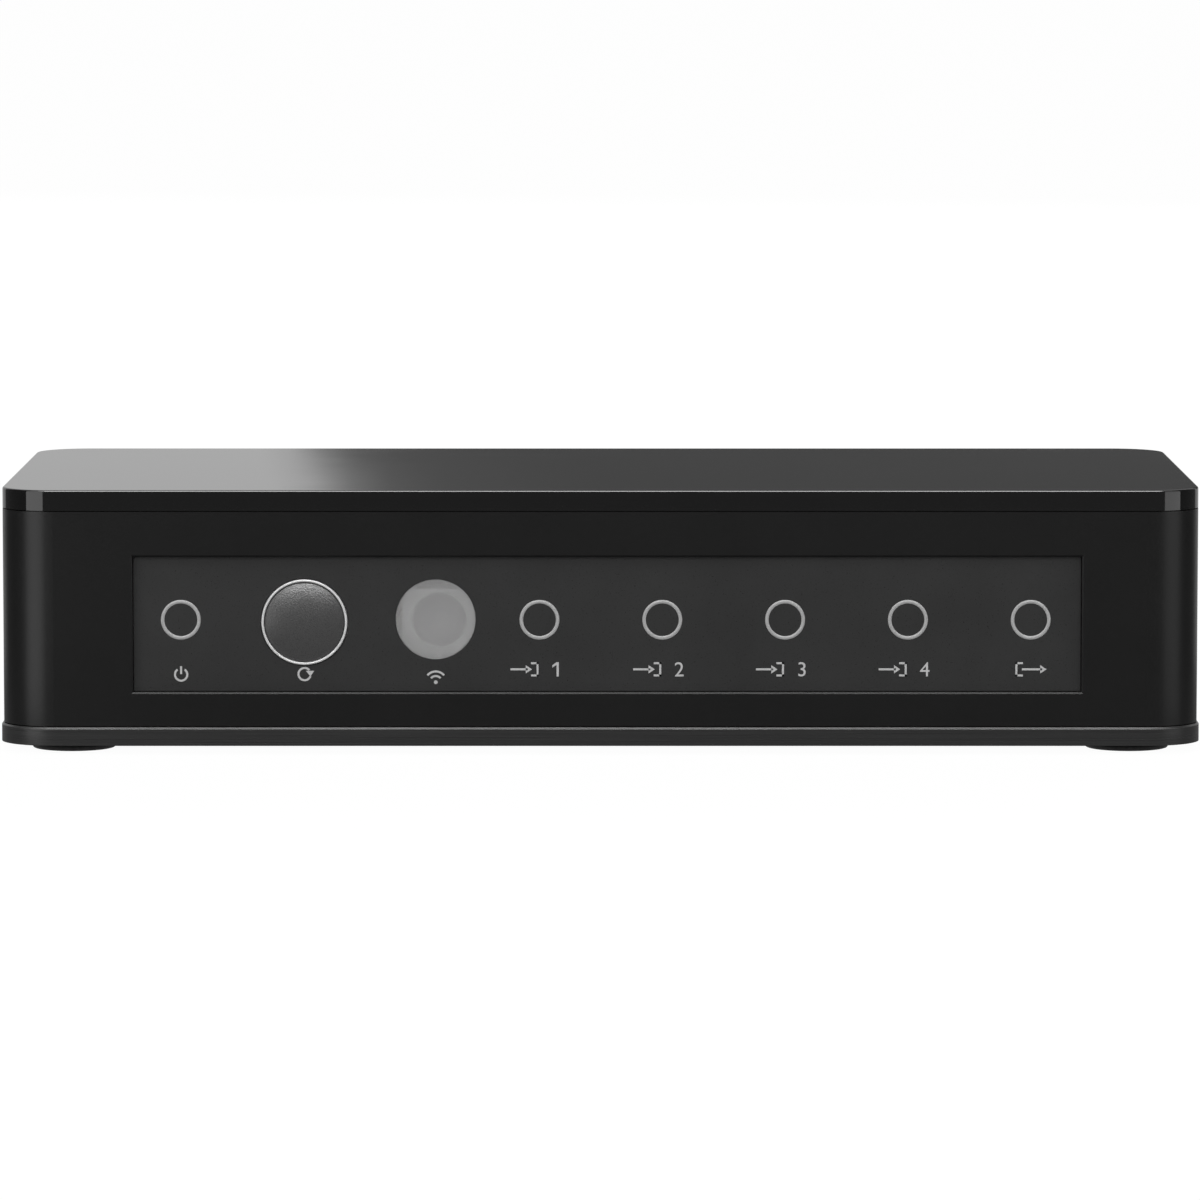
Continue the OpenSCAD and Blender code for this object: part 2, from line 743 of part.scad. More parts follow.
// Ground legs of the receiver's can in plan, widened by g
module eye_leg_plan(g) {
    for (s = [-1, 1])
        translate([eye_x + s * (eye_w - eye_sheet) / 2, (eye_y + eye_y1) / 2])
            square([eye_sheet + 2 * g, 2 * lead_t + 2 * g], center = true);
}

// Terminals of the push switch in plan, widened by g
module switch_pin_plan(g) {
    for (s = [-1, 1], y = [switch_y1 + lead_t, switch_y2 - lead_t])
        translate([button_x + s * switch_pin_x, y])
            square(lead_t + 2 * g, center = true);
}

// Legs of the push switch's cover in plan, widened by g
module switch_leg_plan(g) {
    for (s = [-1, 1])
        translate([button_x + s * (switch_leg_x + switch_sheet / 2), (switch_y1 + switch_y2) / 2])
            square([switch_sheet + 2 * g, 2 * lead_t + 2 * g], center = true);
}

// Tails of the power jack's pin and spring in plan, widened by g
module jack_tail_plan(y, g) {
    translate([jack_x, y])
        square([jack_tail_w + 2 * g, lead_t + 2 * g], center = true);
}

module body_shell() {
    color("#202021")
        difference() {
            union() {
                difference() {
                    slab(case_w, case_d, corner_r, base_z1, wall_z1);
                    translate([0, cavity_y, 0])
                        slab(cavity_w, cavity_d, cavity_r, base_z1 - cut, wall_z1 + cut);
                }
                for (s = foot_sides)
                    post(s);
            }
            panel_recess();
            outer_groove(base_z1 - cut, base_z1 + base_gap);
            at_screws()
                translate([0, 0, post_z0 - cut])
                    cylinder(h = case_seat_z + case_screw_l - post_z0 + 2 * cut,
                        d = case_screw_d + 2 * screw_fit);
            for (x = led_x)
                rod_y(light_hole_d, x, led_z, panel_y1 - cut, inner_front + cut);
            rod_y(ring_bore_d, button_x, button_z, panel_y1 - cut, inner_front + cut);
            rod_y(keeper_d + 2 * drop_fit, button_x, button_z, panel_y1 - cut, keeper_y1);
            rod_y(sight_hole_d, window_x, window_z, panel_y1 - cut, inner_front + cut);
            rod_y(window_flange_d + 2 * drop_fit, window_x, window_z, panel_y1 - cut, keeper_y1);
            block([-rear_open_w / 2, inner_rear - cut, base_z1 - cut],
                [rear_open_w / 2, rear_y + cut, rear_open_z1]);
            at_snaps()
                block([-snap_w / 2 - drop_fit, -cut / 2, snap_z - snap_rise - drop_fit],
                    [snap_w / 2 + drop_fit, snap_out + drop_fit, snap_z + snap_rise + drop_fit]);
        }
}

module top_cover() {
    color("#0c0c0d") {
        rimmed_plate(case_w, case_d, corner_r, cover_z0) {
            round_section(case_d / 2, cover_t, cover_round);
            round_section(case_w / 2, cover_t, cover_round);
            round_section(corner_r, cover_t, cover_round);
        }
        slab(case_w - 2 * shadow_depth, case_d - 2 * shadow_depth, corner_r - shadow_depth,
            wall_z1, cover_z0);
        inner_rim(wall_z1 - cover_rim_h, wall_z1);
        at_snaps()
            translate([-snap_w / 2, 0, snap_z])
                rotate([90, 0, 90])
                    linear_extrude(snap_w)
                        polygon([[-rim_t / 2, -snap_rise], [0, -snap_rise], [snap_out, 0],
                            [0, snap_rise], [-rim_t / 2, snap_rise]]);
        for (x = [-1, 1])
            block([x * cover_rib_x - rim_t / 2, inner_front + drop_fit + rim_t / 2, wall_z1 - cover_rib_h],
                [x * cover_rib_x + rim_t / 2, inner_rear - drop_fit - rim_t / 2, wall_z1]);
    }
}

module base_plate() {
    color("#2f2f30")
        difference() {
            union() {
                rimmed_plate(case_w + 2 * base_step, case_d + 2 * base_step, corner_r + base_step, base_z0) {
                    slope_section(case_d / 2 + base_step, base_t, base_slope);
                    slope_section(case_w / 2 + base_step, base_t, base_slope);
                    slope_section(corner_r + base_step, base_t, base_slope);
                }
                difference() {
                    union() {
                        inner_rim(base_z1, base_z1 + base_rim_h);
                        at_screws()
                            translate([0, 0, base_z1])
                                cylinder(h = boss_h, d = boss_d);
                    }
                    block([-rear_flange_w / 2 - drop_fit, flange_y0 - drop_fit, base_z1],
                        [rear_flange_w / 2 + drop_fit, rear_y, boss_z1 + cut]);
                    difference() {
                        slab(case_w, case_d, corner_r, base_z1, boss_z1 + cut);
                        translate([0, cavity_y, 0])
                            slab(cavity_w - 2 * drop_fit, cavity_d - 2 * drop_fit, cavity_r - drop_fit,
                                base_z1 - cut, boss_z1 + 2 * cut);
                    }
                }
                at_board_screws()
                    translate([0, 0, base_z1])
                        cylinder(h = standoff_h, d = standoff_d);
            }
            at_screws() {
                translate([0, 0, base_z0 - cut]) {
                    cylinder(h = foot_sink + cut, d = foot_d + 2 * drop_fit);
                    cylinder(h = case_seat_z - base_z0 + cut, d = case_head_d + 2 * drop_fit);
                    cylinder(h = boss_z1 - base_z0 + 2 * cut, d = case_screw_d + 2 * drop_fit);
                }
            }
            at_board_screws()
                translate([0, 0, board_z1 - board_screw_l - lead_fit])
                    cylinder(h = board_screw_l + cut, d = board_screw_d + 2 * screw_fit);
        }
}

module rear_panel() {
    color("#1b1b1c")
        difference() {
            union() {
                block([-rear_flange_w / 2, flange_y0, base_z1 + face_gap],
                    [rear_flange_w / 2, inner_rear, rear_flange_z1]);
                block([-rear_open_w / 2 + drop_fit, inner_rear, base_z1 + face_gap],
                    [rear_open_w / 2 - drop_fit, rear_face_y, rear_open_z1 - drop_fit]);
            }
            for (x = socket_x)
                translate([x, 0, socket_z])
                    along_y(flange_y0 - cut, rear_face_y + cut)
                        socket_outline(socket_sheet + drop_fit);
            rod_y(jack_hole_d, jack_x, jack_z, flange_y0 - cut, rear_face_y + cut);
        }
}

module front_panel() {
    color("#303031")
        difference() {
            block([panel_x0 + plate_inset, panel_y0, panel_z0 + plate_inset],
                [panel_x1 - plate_inset, panel_y1, panel_z1 - plate_inset]);
            rod_y(ring_d + 2 * ring_gap, button_x, button_z, panel_y0 - cut, panel_y1 + cut);
            rod_y(window_d + 2 * trim_fit, window_x, window_z, panel_y0 - cut, panel_y1 + cut);
        }
}

module foot(i) {
    h = foot_h + foot_sink;
    color("#141414")
        translate([foot_sides[i][0] * foot_x, foot_sides[i][1] * foot_y, h])
            mirror([0, 0, 1])
                rotate_extrude()
                    intersection() {
                        round_section(foot_d / 2, h, foot_round);
                        square([foot_d / 2, h]);
                    }
}

// Pan-head screw that points up, with the head's seat at Z = 0
module screw(d, l, head_d, head_h) {
    cylinder(h = l, d = d);
    difference() {
        translate([0, 0, -head_h])
            cylinder(h = head_h, d = head_d);
        for (turn = [0, 90])
            rotate([0, 0, turn])
                block([-head_d / 4, -slot_w / 2, -head_h - cut], [head_d / 4, slot_w / 2, -head_h / 2]);
    }
}

module case_screws() {
    color("#8d8f92")
        at_screws()
            translate([0, 0, case_seat_z])
                screw(case_screw_d, case_screw_l, case_head_d, case_head_h);
}

module board_screws() {
    color("#8d8f92")
        at_board_screws()
            translate([0, 0, board_z1])
                mirror([0, 0, 1])
                    screw(board_screw_d, board_screw_l, board_head_d, board_head_h);
}

module button_ring() {
    tip = ring_t / 2;
    color("#d9dadb")
        turned_y(button_x, button_z) {
            polygon([[ring_bore_d / 2, ring_y0 + tip], [ring_d / 2, ring_y0 + tip], [ring_d / 2, panel_y1],
                [keeper_d / 2, panel_y1], [keeper_d / 2, keeper_y1], [ring_bore_d / 2, keeper_y1]]);
            translate([ring_bore_d / 2 + tip, ring_y0 + tip])
                circle(d = ring_t);
        }
}

module select_button() {
    core_r0 = stem_d / 2 + ring_t;
    core_r1 = button_d / 2 - 3 * ring_t;
    color("#454546")
        turned_y(button_x, button_z)
            difference() {
                union() {
                    intersection() {
                        translate([0, button_rim_y - button_crown + crown_r])
                            circle(crown_r);
                        translate([0, button_rim_y - button_crown])
                            square([button_d / 2, button_crown]);
                    }
                    translate([0, button_rim_y])
                        square([button_d / 2, button_flange_y1 - button_rim_y]);
                    translate([0, button_flange_y0])
                        square([keeper_d / 2, button_flange_t]);
                    translate([0, button_rim_y])
                        square([stem_d / 2, stem_y1 - button_rim_y]);
                }
                translate([core_r0, panel_y1])
                    square([core_r1 - core_r0, button_flange_y1 - panel_y1 + cut]);
            }
}

module ir_window() {
    color("#929292")
        turned_y(window_x, window_z)
            polygon([[0, panel_y0], [window_d / 2, panel_y0], [window_d / 2, panel_y1],
                [window_flange_d / 2, panel_y1], [window_flange_d / 2, keeper_y1], [0, keeper_y1]]);
}

module indicator_led(i) {
    color("#c9cccf")
        turned_y(led_x[i], led_z) {
            intersection() {
                translate([0, led_tip_y + led_d / 2])
                    circle(d = led_d);
                translate([0, led_tip_y])
                    square([led_d / 2, led_d / 2]);
            }
            translate([0, led_tip_y + led_d / 2])
                square([led_d / 2, led_len - led_d / 2]);
            translate([0, led_flange_y])
                square([led_flange_d / 2, led_flange_t]);
        }
}

module led_holder(i) {
    x = led_x[i];
    color("#161617")
        difference() {
            block([x - holder_w / 2, holder_y0, board_z1], [x + holder_w / 2, holder_y1, led_z + holder_top]);
            rod_y(led_d + 2 * slide_fit, x, led_z, holder_y0 - cut, holder_y1 + cut);
            rod_y(led_flange_d + 2 * slide_fit, x, led_z, led_flange_y - face_gap, holder_y1 + cut);
        }
}

module led_leads() {
    color("#c4c6c9")
        for (x = led_x) {
            translate([0, 0, lead_z0])
                linear_extrude(led_z + lead_t / 2 - lead_z0)
                    lamp_lead_plan(x, 0);
            for (s = [-1, 1], lead_x = [x + s * led_lead_pitch / 2])
                block([lead_x - lead_t / 2, led_y1, led_z - lead_t / 2],
                    [lead_x + lead_t / 2, led_lead_y + lead_t, led_z + lead_t / 2]);
        }
}

module ir_receiver() {
    top = eye_z + eye_top - eye_sheet - face_gap;
    color("#26262b") {
        block([eye_x - eye_half, eye_y, eye_z0], [eye_x + eye_half, eye_y1, top]);
        turned_y(eye_x, eye_z)
            intersection() {
                translate([0, eye_y])
                    circle(d = eye_dome_d);
                translate([0, eye_y - eye_dome_d / 2])
                    square([eye_dome_d / 2, eye_dome_d / 2 + eye_sheet]);
            }
    }
}

module ir_shield() {
    top = eye_z + eye_top;
    color("#b9bbbe") {
        difference() {
            block([eye_x - eye_w / 2, eye_y - eye_sheet, eye_z0], [eye_x + eye_w / 2, eye_y1, top]);
            block([eye_x - eye_w / 2 + eye_sheet, eye_y, eye_z0 - cut],
                [eye_x + eye_w / 2 - eye_sheet, eye_y1 + cut, top - eye_sheet]);
            rod_y(eye_dome_d + 2 * drop_fit, eye_x, eye_z, eye_y - eye_sheet - cut, eye_y + cut);
        }
        translate([0, 0, lead_z0])
            linear_extrude(eye_z0 + eye_sheet - lead_z0)
                eye_leg_plan(0);
    }
}

module ir_leads() {
    color("#c4c6c9")
        translate([0, 0, lead_z0])
            linear_extrude(eye_z0 - lead_z0)
                eye_lead_plan(0);
}

module switch_base() {
    color("#1a1a1b")
        difference() {
            block([button_x - switch_w / 2, switch_y1, switch_z0],
                [button_x + switch_w / 2, switch_y2, switch_z0 + switch_w]);
            rod_y(chamber_d, button_x, button_z, switch_y1 - cut, chamber_y1);
        }
}

module switch_cover() {
    reach = switch_leg_x + switch_sheet;
    color("#bfc1c4") {
        difference() {
            block([button_x - reach, switch_y0, switch_z0],
                [button_x + reach, switch_y2, switch_z0 + switch_w]);
            block([button_x - switch_leg_x, switch_y1, switch_z0 - cut],
                [button_x + switch_leg_x, switch_y2 + cut, switch_z0 + switch_w + cut]);
            rod_y(plunger_d + 2 * slide_fit, button_x, button_z, switch_y0 - cut, switch_y1 + cut);
        }
        translate([0, 0, lead_z0])
            linear_extrude(switch_z0 + switch_sheet - lead_z0)
                switch_leg_plan(0);
    }
}

module switch_plunger() {
    y1 = switch_y1 + face_gap;
    color("#2a2a2b")
        turned_y(button_x, button_z)
            polygon([[0, plunger_y0], [plunger_d / 2, plunger_y0], [plunger_d / 2, y1],
                [plunger_flange_d / 2, y1], [plunger_flange_d / 2, plunger_y2], [0, plunger_y2]]);
}

module switch_dome() {
    color("#cfd1d3")
        turned_y(button_x, button_z)
            intersection() {
                difference() {
                    translate([0, dome_tip_y + dome_r])
                        circle(dome_r);
                    translate([0, dome_tip_y + dome_r])
                        circle(dome_r - dome_t);
                }
                translate([0, dome_tip_y])
                    square([chamber_d / 2, dome_h]);
            }
}

module switch_terminals() {
    color("#c4c6c9")
        translate([0, 0, lead_z0])
            linear_extrude(switch_z0 - lead_z0)
                switch_pin_plan(0);
}

module circuit_board() {
    color("#23402f")
        difference() {
            block([-board_w / 2, board_y0, board_z0], [board_w / 2, board_y1, board_z1]);
            for (s = foot_sides)
                scale([s[0], s[1], 1])
                    block([notch_x, notch_y, board_z0 - cut], [case_w, case_d, board_z1 + cut]);
            at_board_screws()
                translate([0, 0, board_z0 - cut])
                    cylinder(h = board_t + 2 * cut, d = board_screw_d + 2 * lead_fit);
            translate([0, 0, board_z0 - cut])
                linear_extrude(board_t + 2 * cut) {
                    for (x = led_x)
                        lamp_lead_plan(x, lead_fit);
                    eye_lead_plan(lead_fit);
                    eye_leg_plan(lead_fit);
                    switch_pin_plan(lead_fit);
                    switch_leg_plan(lead_fit);
                    jack_tail_plan(pin_tail_y, lead_fit);
                    jack_tail_plan(spring_tail_y, lead_fit);
                }
            for (x = socket_x)
                translate([x, 0, 0])
                    socket_legs(lead_fit, board_z0 - cut, board_z1 + cut);
        }
}

// Flat chip with a dimple at its first corner
module chip(at, w, t) {
    translate([at[0], at[1], board_z1])
        difference() {
            block([-w / 2, -w / 2, 0], [w / 2, w / 2, t]);
            translate([mark_d - w / 2, w / 2 - mark_d, t - mark_depth])
                cylinder(h = cut, d = mark_d);
        }
}

module switching_chip() {
    color("#18181a")
        chip(chip_at, chip_w, chip_t);
}

module control_chip() {
    color("#18181a")
        chip(control_at, control_w, control_t);
}

module regulator_chip() {
    color("#1c1c1e")
        translate([regulator_at[0], regulator_at[1], board_z1]) {
            block([-regulator_w / 2, -regulator_d / 2, 0], [regulator_w / 2, regulator_d / 2, regulator_h]);
            for (x = regulator_pitch * [-1, 0, 1])
                translate([x - regulator_lead_w / 2, -regulator_d / 2 - regulator_lead_l, 0])
                    cube([regulator_lead_w, regulator_lead_l + cut, regulator_lead_t]);
            translate([-regulator_w / 4, regulator_d / 2 - cut, 0])
                cube([regulator_w / 2, regulator_lead_l + cut, regulator_lead_t]);
        }
}

module capacitors() {
    color("#aeb1b5")
        for (p = cap_at)
            translate([p[0], p[1], board_z1])
                cylinder(h = cap_h, d = cap_d);
}

module crystal_can() {
    color("#bfc1c4")
        translate([crystal_at[0], crystal_at[1], board_z1])
            linear_extrude(crystal_h) {
                square([crystal_l, crystal_w], center = true);
                for (x = [-1, 1])
                    translate([x * crystal_l / 2, 0])
                        circle(d = crystal_w);
            }
}

module socket_shell(i) {
    color("#b4b6b9")
        translate([socket_x[i], 0, socket_z]) {
            difference() {
                along_y(socket_y0, mouth_y)
                    socket_outline(socket_sheet);
                along_y(socket_y0 - cut, mouth_y + cut)
                    socket_outline(0);
                tab_slots(-socket_sheet - cut, cut / 2);
                tab_slots(socket_h - cut / 2, socket_h + socket_sheet + cut);
            }
            socket_legs(0, lead_z0 - socket_z, socket_slope_h + 2 * socket_sheet);
        }
}

module socket_tongue(i) {
    half = contact_rows[0][1] * contact_pitch / 2;
    color("#131314")
        translate([socket_x[i], 0, socket_z]) {
            difference() {
                along_y(socket_y0, mouth_y - socket_depth)
                    socket_outline(-face_gap);
                for (row = contact_rows)
                    block([-half, socket_y0 - cut, row[0] - face_gap],
                        [half, mouth_y - socket_depth + cut, row[0] + contact_t + face_gap]);
            }
            block([-tongue_w / 2, socket_y0, tongue_z0], [tongue_w / 2, mouth_y - tongue_back, tongue_z1]);
        }
}

module socket_contacts(i) {
    foot_z = -socket_sheet;
    reach = contact_tip_y - contact_drop_y;
    color("#c9a24a")
        translate([socket_x[i], 0, socket_z])
            for (row = contact_rows, k = [0 : row[1] - 1])
                translate([(k - (row[1] - 1) / 2) * contact_pitch - contact_w / 2, contact_drop_y, 0]) {
                    block([0, -contact_t, row[0]], [contact_w, reach, row[0] + contact_t]);
                    block([0, -contact_t, foot_z], [contact_w, 0, row[0] + contact_t]);
                    block([0, -contact_foot_l, foot_z], [contact_w, 0, foot_z + contact_t]);
                }
}

module power_jack_body() {
    color("#151516")
        difference() {
            union() {
                block([jack_x - jack_w / 2, jack_y0, board_z1],
                    [jack_x + jack_w / 2, board_y1, board_z1 + jack_h]);
                rod_y(jack_nose_d, jack_x, jack_z, board_y1 - cut, rear_face_y);
            }
            rod_y(jack_bore_d, jack_x, jack_z, jack_floor_y, rear_face_y + cut);
            rod_y(jack_pin_d + 2 * face_gap, jack_x, jack_z, jack_y0 - cut, jack_floor_y + cut);
            block([jack_x - spring_w / 2 - face_gap, jack_y0 - cut, jack_z],
                [jack_x + spring_w / 2 + face_gap, jack_floor_y + cut, spring_z + spring_t + face_gap]);
            block([jack_x - spring_w / 2 - face_gap, jack_floor_y, jack_z],
                [jack_x + spring_w / 2 + face_gap, board_y1 - spring_w, spring_z + spring_t + face_gap]);
        }
}

module power_jack_pin() {
    color("#c7c9cc") {
        rod_y(jack_pin_d, jack_x, jack_z, pin_tail_y, rear_face_y - jack_pin_back);
        translate([0, 0, lead_z0])
            linear_extrude(jack_z - lead_z0)
                jack_tail_plan(pin_tail_y, 0);
    }
}

module power_jack_spring() {
    color("#c9a24a") {
        block([jack_x - spring_w / 2, spring_tail_y - lead_t / 2, spring_z],
            [jack_x + spring_w / 2, board_y1 - spring_w - face_gap, spring_z + spring_t]);
        translate([0, 0, lead_z0])
            linear_extrude(spring_z + spring_t - lead_z0)
                jack_tail_plan(spring_tail_y, 0);
    }
}

body_shell();
top_cover();
base_plate();
rear_panel();
front_panel();
for (i = [0 : len(foot_names) - 1])
    foot(i);
case_screws();
board_screws();
button_ring();
select_button();
ir_window();
for (i = [0 : len(lamp_names) - 1]) {
    indicator_led(i);
    led_holder(i);
}
led_leads();
ir_receiver();
ir_shield();
ir_leads();
switch_base();
switch_cover();
switch_plunger();
switch_dome();
switch_terminals();
circuit_board();
switching_chip();
control_chip();
regulator_chip();
capacitors();
crystal_can();
for (i = [0 : len(socket_names) - 1]) {
    socket_shell(i);
    socket_tongue(i);
    socket_contacts(i);
}
power_jack_body();
power_jack_pin();
power_jack_spring();
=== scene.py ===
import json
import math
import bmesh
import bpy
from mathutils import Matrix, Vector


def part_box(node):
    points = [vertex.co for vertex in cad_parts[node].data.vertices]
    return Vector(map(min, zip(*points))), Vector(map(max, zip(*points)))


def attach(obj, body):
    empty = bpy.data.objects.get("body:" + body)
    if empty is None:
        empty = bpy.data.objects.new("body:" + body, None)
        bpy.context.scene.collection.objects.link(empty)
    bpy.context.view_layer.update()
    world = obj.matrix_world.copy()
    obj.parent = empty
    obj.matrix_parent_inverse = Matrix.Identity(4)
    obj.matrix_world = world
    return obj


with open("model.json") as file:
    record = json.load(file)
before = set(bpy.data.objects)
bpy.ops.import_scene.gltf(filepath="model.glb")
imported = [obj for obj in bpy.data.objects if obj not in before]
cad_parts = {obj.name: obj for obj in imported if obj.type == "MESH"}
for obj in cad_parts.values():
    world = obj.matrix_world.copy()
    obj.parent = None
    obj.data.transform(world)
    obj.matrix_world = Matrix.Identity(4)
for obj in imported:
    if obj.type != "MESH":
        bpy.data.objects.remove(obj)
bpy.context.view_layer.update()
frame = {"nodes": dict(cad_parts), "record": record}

# %% [markdown]
# # A video switch box, dressed for its portrait
# The solids come from the CAD model, each piece in its real place and in metres. This lesson only
# gives them their looks: a camera, a small studio, a finish for every piece, and the thin print on
# the front panel that is too fine for the solids. The dressed object must not outgrow the box of
# the bare CAD model.

MM = 0.001
nodes = frame["nodes"]

# %% [markdown]
# ## The camera
# Product shots of small boxes are taken from a little above with a long lens, so that the upright
# edges stay nearly parallel. The place was found from the picture by simple perspective: how much
# narrower the rear edge of the cover looks than its front edge gives the distance, and how much of
# the cover shows gives the height. A long lens far away could give the same framing, but then the
# cover's sides would not draw in towards the back as they do here.

# %% Camera
CAMERA_PLACE = Vector((-0.00004, -0.7465, 0.08565))
CAMERA_PITCH = 5.57
CAMERA_LENS = 217.27
SENSOR_WIDTH = 36.0

camera_data = bpy.data.cameras.new("camera")
camera_data.sensor_width = SENSOR_WIDTH
camera_data.lens = CAMERA_LENS
camera_data.clip_start = 0.01
camera = bpy.data.objects.new("camera", camera_data)
camera.location = CAMERA_PLACE
camera.rotation_euler = (math.radians(90.0 - CAMERA_PITCH), 0.0, 0.0)
bpy.context.collection.objects.link(camera)
bpy.context.scene.camera = camera
print("camera", [round(v, 4) for v in camera.location], "lens", camera_data.lens)

# %% [markdown]
# ## The studio
# The picture has a plain white ground. A white floor that only lamps light would need so much light
# that the black plastic turned grey, so the floor and the world glow white for rays that come from
# the camera, from a shiny surface or through glass, and stay an ordinary pale floor and a soft grey
# sky for all other rays. A small part of the floor's white is left to the lamps, which keeps the
# shadow. The world comes first, with the question that both ask of a ray.

# %% Sky
SKY_LEVEL = 0.3


def shown_directly(tree):
    """One where a camera, glossy or transmission ray asks, else zero."""
    path = tree.nodes.new("ShaderNodeLightPath")
    first = tree.nodes.new("ShaderNodeMath")
    first.operation = "ADD"
    tree.links.new(path.outputs["Is Camera Ray"], first.inputs[0])
    tree.links.new(path.outputs["Is Glossy Ray"], first.inputs[1])
    both = tree.nodes.new("ShaderNodeMath")
    both.operation = "ADD"
    both.use_clamp = True
    tree.links.new(first.outputs[0], both.inputs[0])
    tree.links.new(path.outputs["Is Transmission Ray"], both.inputs[1])
    return both.outputs[0]


world = bpy.data.worlds.new("studio")
bpy.context.scene.world = world
world.use_nodes = True
sky_tree = world.node_tree
sky = sky_tree.nodes["Background"]
sky.inputs["Color"].default_value = (1.0, 1.0, 1.0, 1.0)
level = sky_tree.nodes.new("ShaderNodeMapRange")
level.inputs["To Min"].default_value = SKY_LEVEL
level.inputs["To Max"].default_value = 1.0
sky_tree.links.new(shown_directly(sky_tree), level.inputs["Value"])
sky_tree.links.new(level.outputs["Result"], sky.inputs["Strength"])
print("sky level", SKY_LEVEL)

# %% [markdown]
# The floor mixes two looks with the same question.

# %% Floor
FLOOR_GLOW = 0.97
FLOOR_SHARE = 0.06
FLOOR_TONE = 0.8
FLOOR_SIZE = 8.0
FLOOR_BACK = 2.0


def stage_piece(name, points, faces, material):
    """A mesh that belongs to the studio and not to the object."""
    mesh = bpy.data.meshes.new(name)
    mesh.from_pydata(points, [], faces)
    mesh.materials.append(material)
    made = bpy.data.objects.new(name, mesh)
    bpy.context.collection.objects.link(made)
    return made


def rectangle(width, height):
    """Points and the one face of a flat rectangle around the origin."""
    w, h = width / 2, height / 2
    return [(-w, -h, 0), (w, -h, 0), (w, h, 0), (-w, h, 0)], [(0, 1, 2, 3)]


floor_paint = bpy.data.materials.new("floor_white")
floor_paint.use_nodes = True
tree = floor_paint.node_tree
tree.nodes.clear()
plain = tree.nodes.new("ShaderNodeBsdfDiffuse")
plain.inputs["Color"].default_value = (FLOOR_TONE, FLOOR_TONE, FLOOR_TONE, 1.0)
glow = tree.nodes.new("ShaderNodeEmission")
glow.inputs["Strength"].default_value = FLOOR_GLOW
lit = tree.nodes.new("ShaderNodeBsdfDiffuse")
lit.inputs["Color"].default_value = (FLOOR_SHARE, FLOOR_SHARE, FLOOR_SHARE, 1.0)
bright = tree.nodes.new("ShaderNodeAddShader")
tree.links.new(glow.outputs[0], bright.inputs[0])
tree.links.new(lit.outputs[0], bright.inputs[1])
choice = tree.nodes.new("ShaderNodeMixShader")
tree.links.new(shown_directly(tree), choice.inputs[0])
tree.links.new(plain.outputs[0], choice.inputs[1])
tree.links.new(bright.outputs[0], choice.inputs[2])
surface = tree.nodes.new("ShaderNodeOutputMaterial")
tree.links.new(choice.outputs[0], surface.inputs["Surface"])

floor = stage_piece("floor", *rectangle(FLOOR_SIZE, FLOOR_SIZE), floor_paint)
floor.location = (0.0, FLOOR_BACK, 0.0)
print("floor", FLOOR_SIZE, "m wide")

# %% [markdown]
# Four soft boxes give the even light: a wide one in front, a little above the camera, one on each
# side of it, and a wide one behind for the row of sockets. They stand low, so that the rim of the
# recess throws only a short shadow on the panel. Their brightness is that of the lamp's face, turned
# into watts by its area, and together they light the front so that a colour comes out about as it is
# written. They are hidden from shiny surfaces, because what those mirror is arranged by itself in
# the next step.

# %% Lamps
LAMPS = {
    # name: (angle from the front, angle above the floor, distance, face, brightness)
    "lamp_front": (0.0, 21.0, 1.2, (1.3, 0.5), 2.9),
    "lamp_left": (-48.0, 15.0, 1.2, (0.50, 0.6), 2.45),
    "lamp_right": (64.0, 15.0, 1.2, (0.50, 0.6), 1.85),
    "lamp_back": (170.0, 24.0, 1.2, (1.3, 0.5), 2.9),
}
AIM = Vector((0.0, 0.0, 0.015))


def around(angle, rise, distance):
    """A place at an angle from the front (to the right), a rise above the floor and a distance."""
    a, r = math.radians(angle), math.radians(rise)
    return Vector((math.sin(a) * math.cos(r), -math.cos(a) * math.cos(r), math.sin(r))) * distance


def facing(place):
    """The turn that makes a lamp or a card at this place look at the box."""
    return (AIM - place).to_track_quat("-Z", "Y").to_euler()


for name, (angle, rise, distance, face, brightness) in LAMPS.items():
    data = bpy.data.lights.new(name, "AREA")
    data.shape = "RECTANGLE"
    data.size, data.size_y = face
    data.energy = brightness * math.pi * face[0] * face[1]
    lamp = bpy.data.objects.new(name, data)
    lamp.location = around(angle, rise, distance)
    lamp.rotation_euler = facing(lamp.location)
    lamp.visible_camera = False
    lamp.visible_glossy = False
    bpy.context.collection.objects.link(lamp)
print("lamps:", list(LAMPS))

# %% [markdown]
# Black plastic shows little of itself and much of what it mirrors. In the picture its upright faces
# mirror a dark room, each rounded corner mirrors one bright upright strip, and the small edges that
# look upwards mirror a bright soft box. Photographers do this with cards around the object: black
# flags, white strips, bright sheets above. The same cards stand here. Only shiny surfaces see them;
# they light nothing and the camera looks through them. The strips' angles follow from where the
# bands lie on the corners, by doubling the angle of the corner's surface. Each strip runs on along
# the floor, so that its band does not fade towards the foot of the wall. A narrow slit stands at the
# height that the polished cover mirrors, because there the bands are brighter than on the dull wall.
# The front flag is lower than the side ones, so that the button's dome sees the sheets over it.

